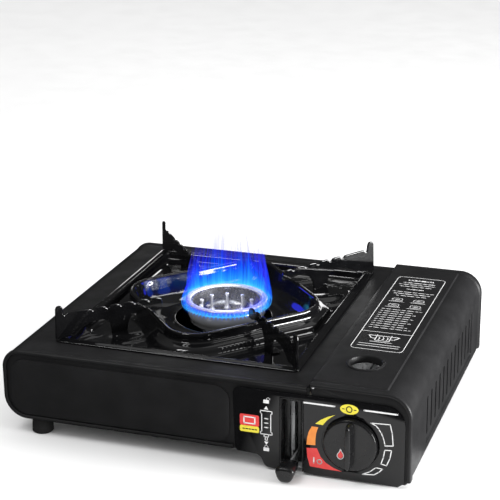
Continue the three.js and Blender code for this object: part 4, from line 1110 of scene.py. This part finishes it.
# Gap outside the ring, share of the full height and place along the streaks, sheet by sheet.
FLAME_SHEETS = ((0.4, 1.0, 0.0), (1.6, 0.75, 40.0), (3.4, 0.5, 90.0), (-2.0, 1.1, 140.0))
for layer, (gap, share, seed) in enumerate(FLAME_SHEETS):
    curtain = Form()
    rises, turns = [], []
    for i in range(FLAME_TURNS):
        angle = 2 * math.pi * i / FLAME_TURNS
        behind = (1 + math.sin(angle - 0.1)) / 2
        flicker = math.sin(9 * angle + seed) + math.sin(17 * angle + 2 * seed)
        flicker += 0.8 * math.sin(29 * angle + 3 * seed)
        tall = share * (FRONT_HEIGHT + REAR_EXTRA * smooth(behind) ** 1.25) * (1 + 0.2 * flicker)
        lean = 3 * math.sin(5 * angle + seed) / RING_OUT
        for j in range(FLAME_STEPS + 1):
            h = j / FLAME_STEPS
            belly = 3.2 * behind * math.sin(math.pi * min(1.3 * h, 1))
            r = RING_OUT + gap * (1 - h) + belly - 7 * h * h * behind
            a = angle + lean * h * h
            y = BY + r * math.sin(a) + 4 * h * h * behind
            curtain.points.append((BX + r * math.cos(a), y, FLAME_FOOT + tall * h))
            rises.append(h)
            turns.append(seed + 0.62 * abs(i - FLAME_TURNS / 2))
    rows = FLAME_STEPS + 1
    for i in range(FLAME_TURNS):
        k = (i + 1) % FLAME_TURNS
        for j in range(FLAME_STEPS):
            curtain.faces.append((i * rows + j, k * rows + j, k * rows + j + 1, i * rows + j + 1))
    flame_sheet("flame_" + str(layer), curtain, rises, turns)

# Short jets out of the slots under the ring.
flame_comb = Form()
rises, turns = [], []
COMB_COUNT = 66
# Distance outside the ring, half width, height over the ring's top and how far up the flame.
COMB_SECTIONS = ((-1.2, 0.6, -2.6, 0.0), (1.2, 0.85, -4.6, 0.08), (2.6, 0.75, -6.2, 0.3),
                 (3.4, 0.1, -7.2, 0.7))
for i in range(COMB_COUNT):
    angle = 2 * math.pi * i / COMB_COUNT
    c, s = math.cos(angle), math.sin(angle)
    first = len(flame_comb.points)
    for outside, half, z, h in COMB_SECTIONS:
        r = RING_OUT + outside
        for w in (-half, half):
            flame_comb.points.append((BX + r * c - w * s, BY + r * s + w * c, RING_TOP + z))
            rises.append(h)
            turns.append(20.0)
    for k in range(3):
        n = first + 2 * k
        flame_comb.faces.append((n, n + 1, n + 3, n + 2))
flame_sheet("flame_jets", flame_comb, rises, turns)


def glow_light(name, position, watts, rgb, radius_mm):
    light = bpy.data.lights.new(name, "POINT")
    light.energy = watts
    light.color = rgb
    light.shadow_soft_size = radius_mm * MM
    lamp = bpy.data.objects.new(name, light)
    bpy.context.scene.collection.objects.link(lamp)
    lamp.location = at(*position)
    lamp.visible_camera = False


glow_light("glow_cup", (BX, BY, RING_TOP + 14), 0.024, (0.85, 0.9, 1.0), 12)
glow_light("glow_rear", (BX - 4, BY + 50, RING_TOP + 12), 0.012, (0.03, 0.04, 1.0), 8)
glow_light("glow_left", (BX - 43, BY + 18, RING_TOP + 8), 0.0025, (0.03, 0.12, 1.0), 6)
glow_light("glow_right", (BX + 43, BY + 18, RING_TOP + 8), 0.0025, (0.03, 0.12, 1.0), 6)
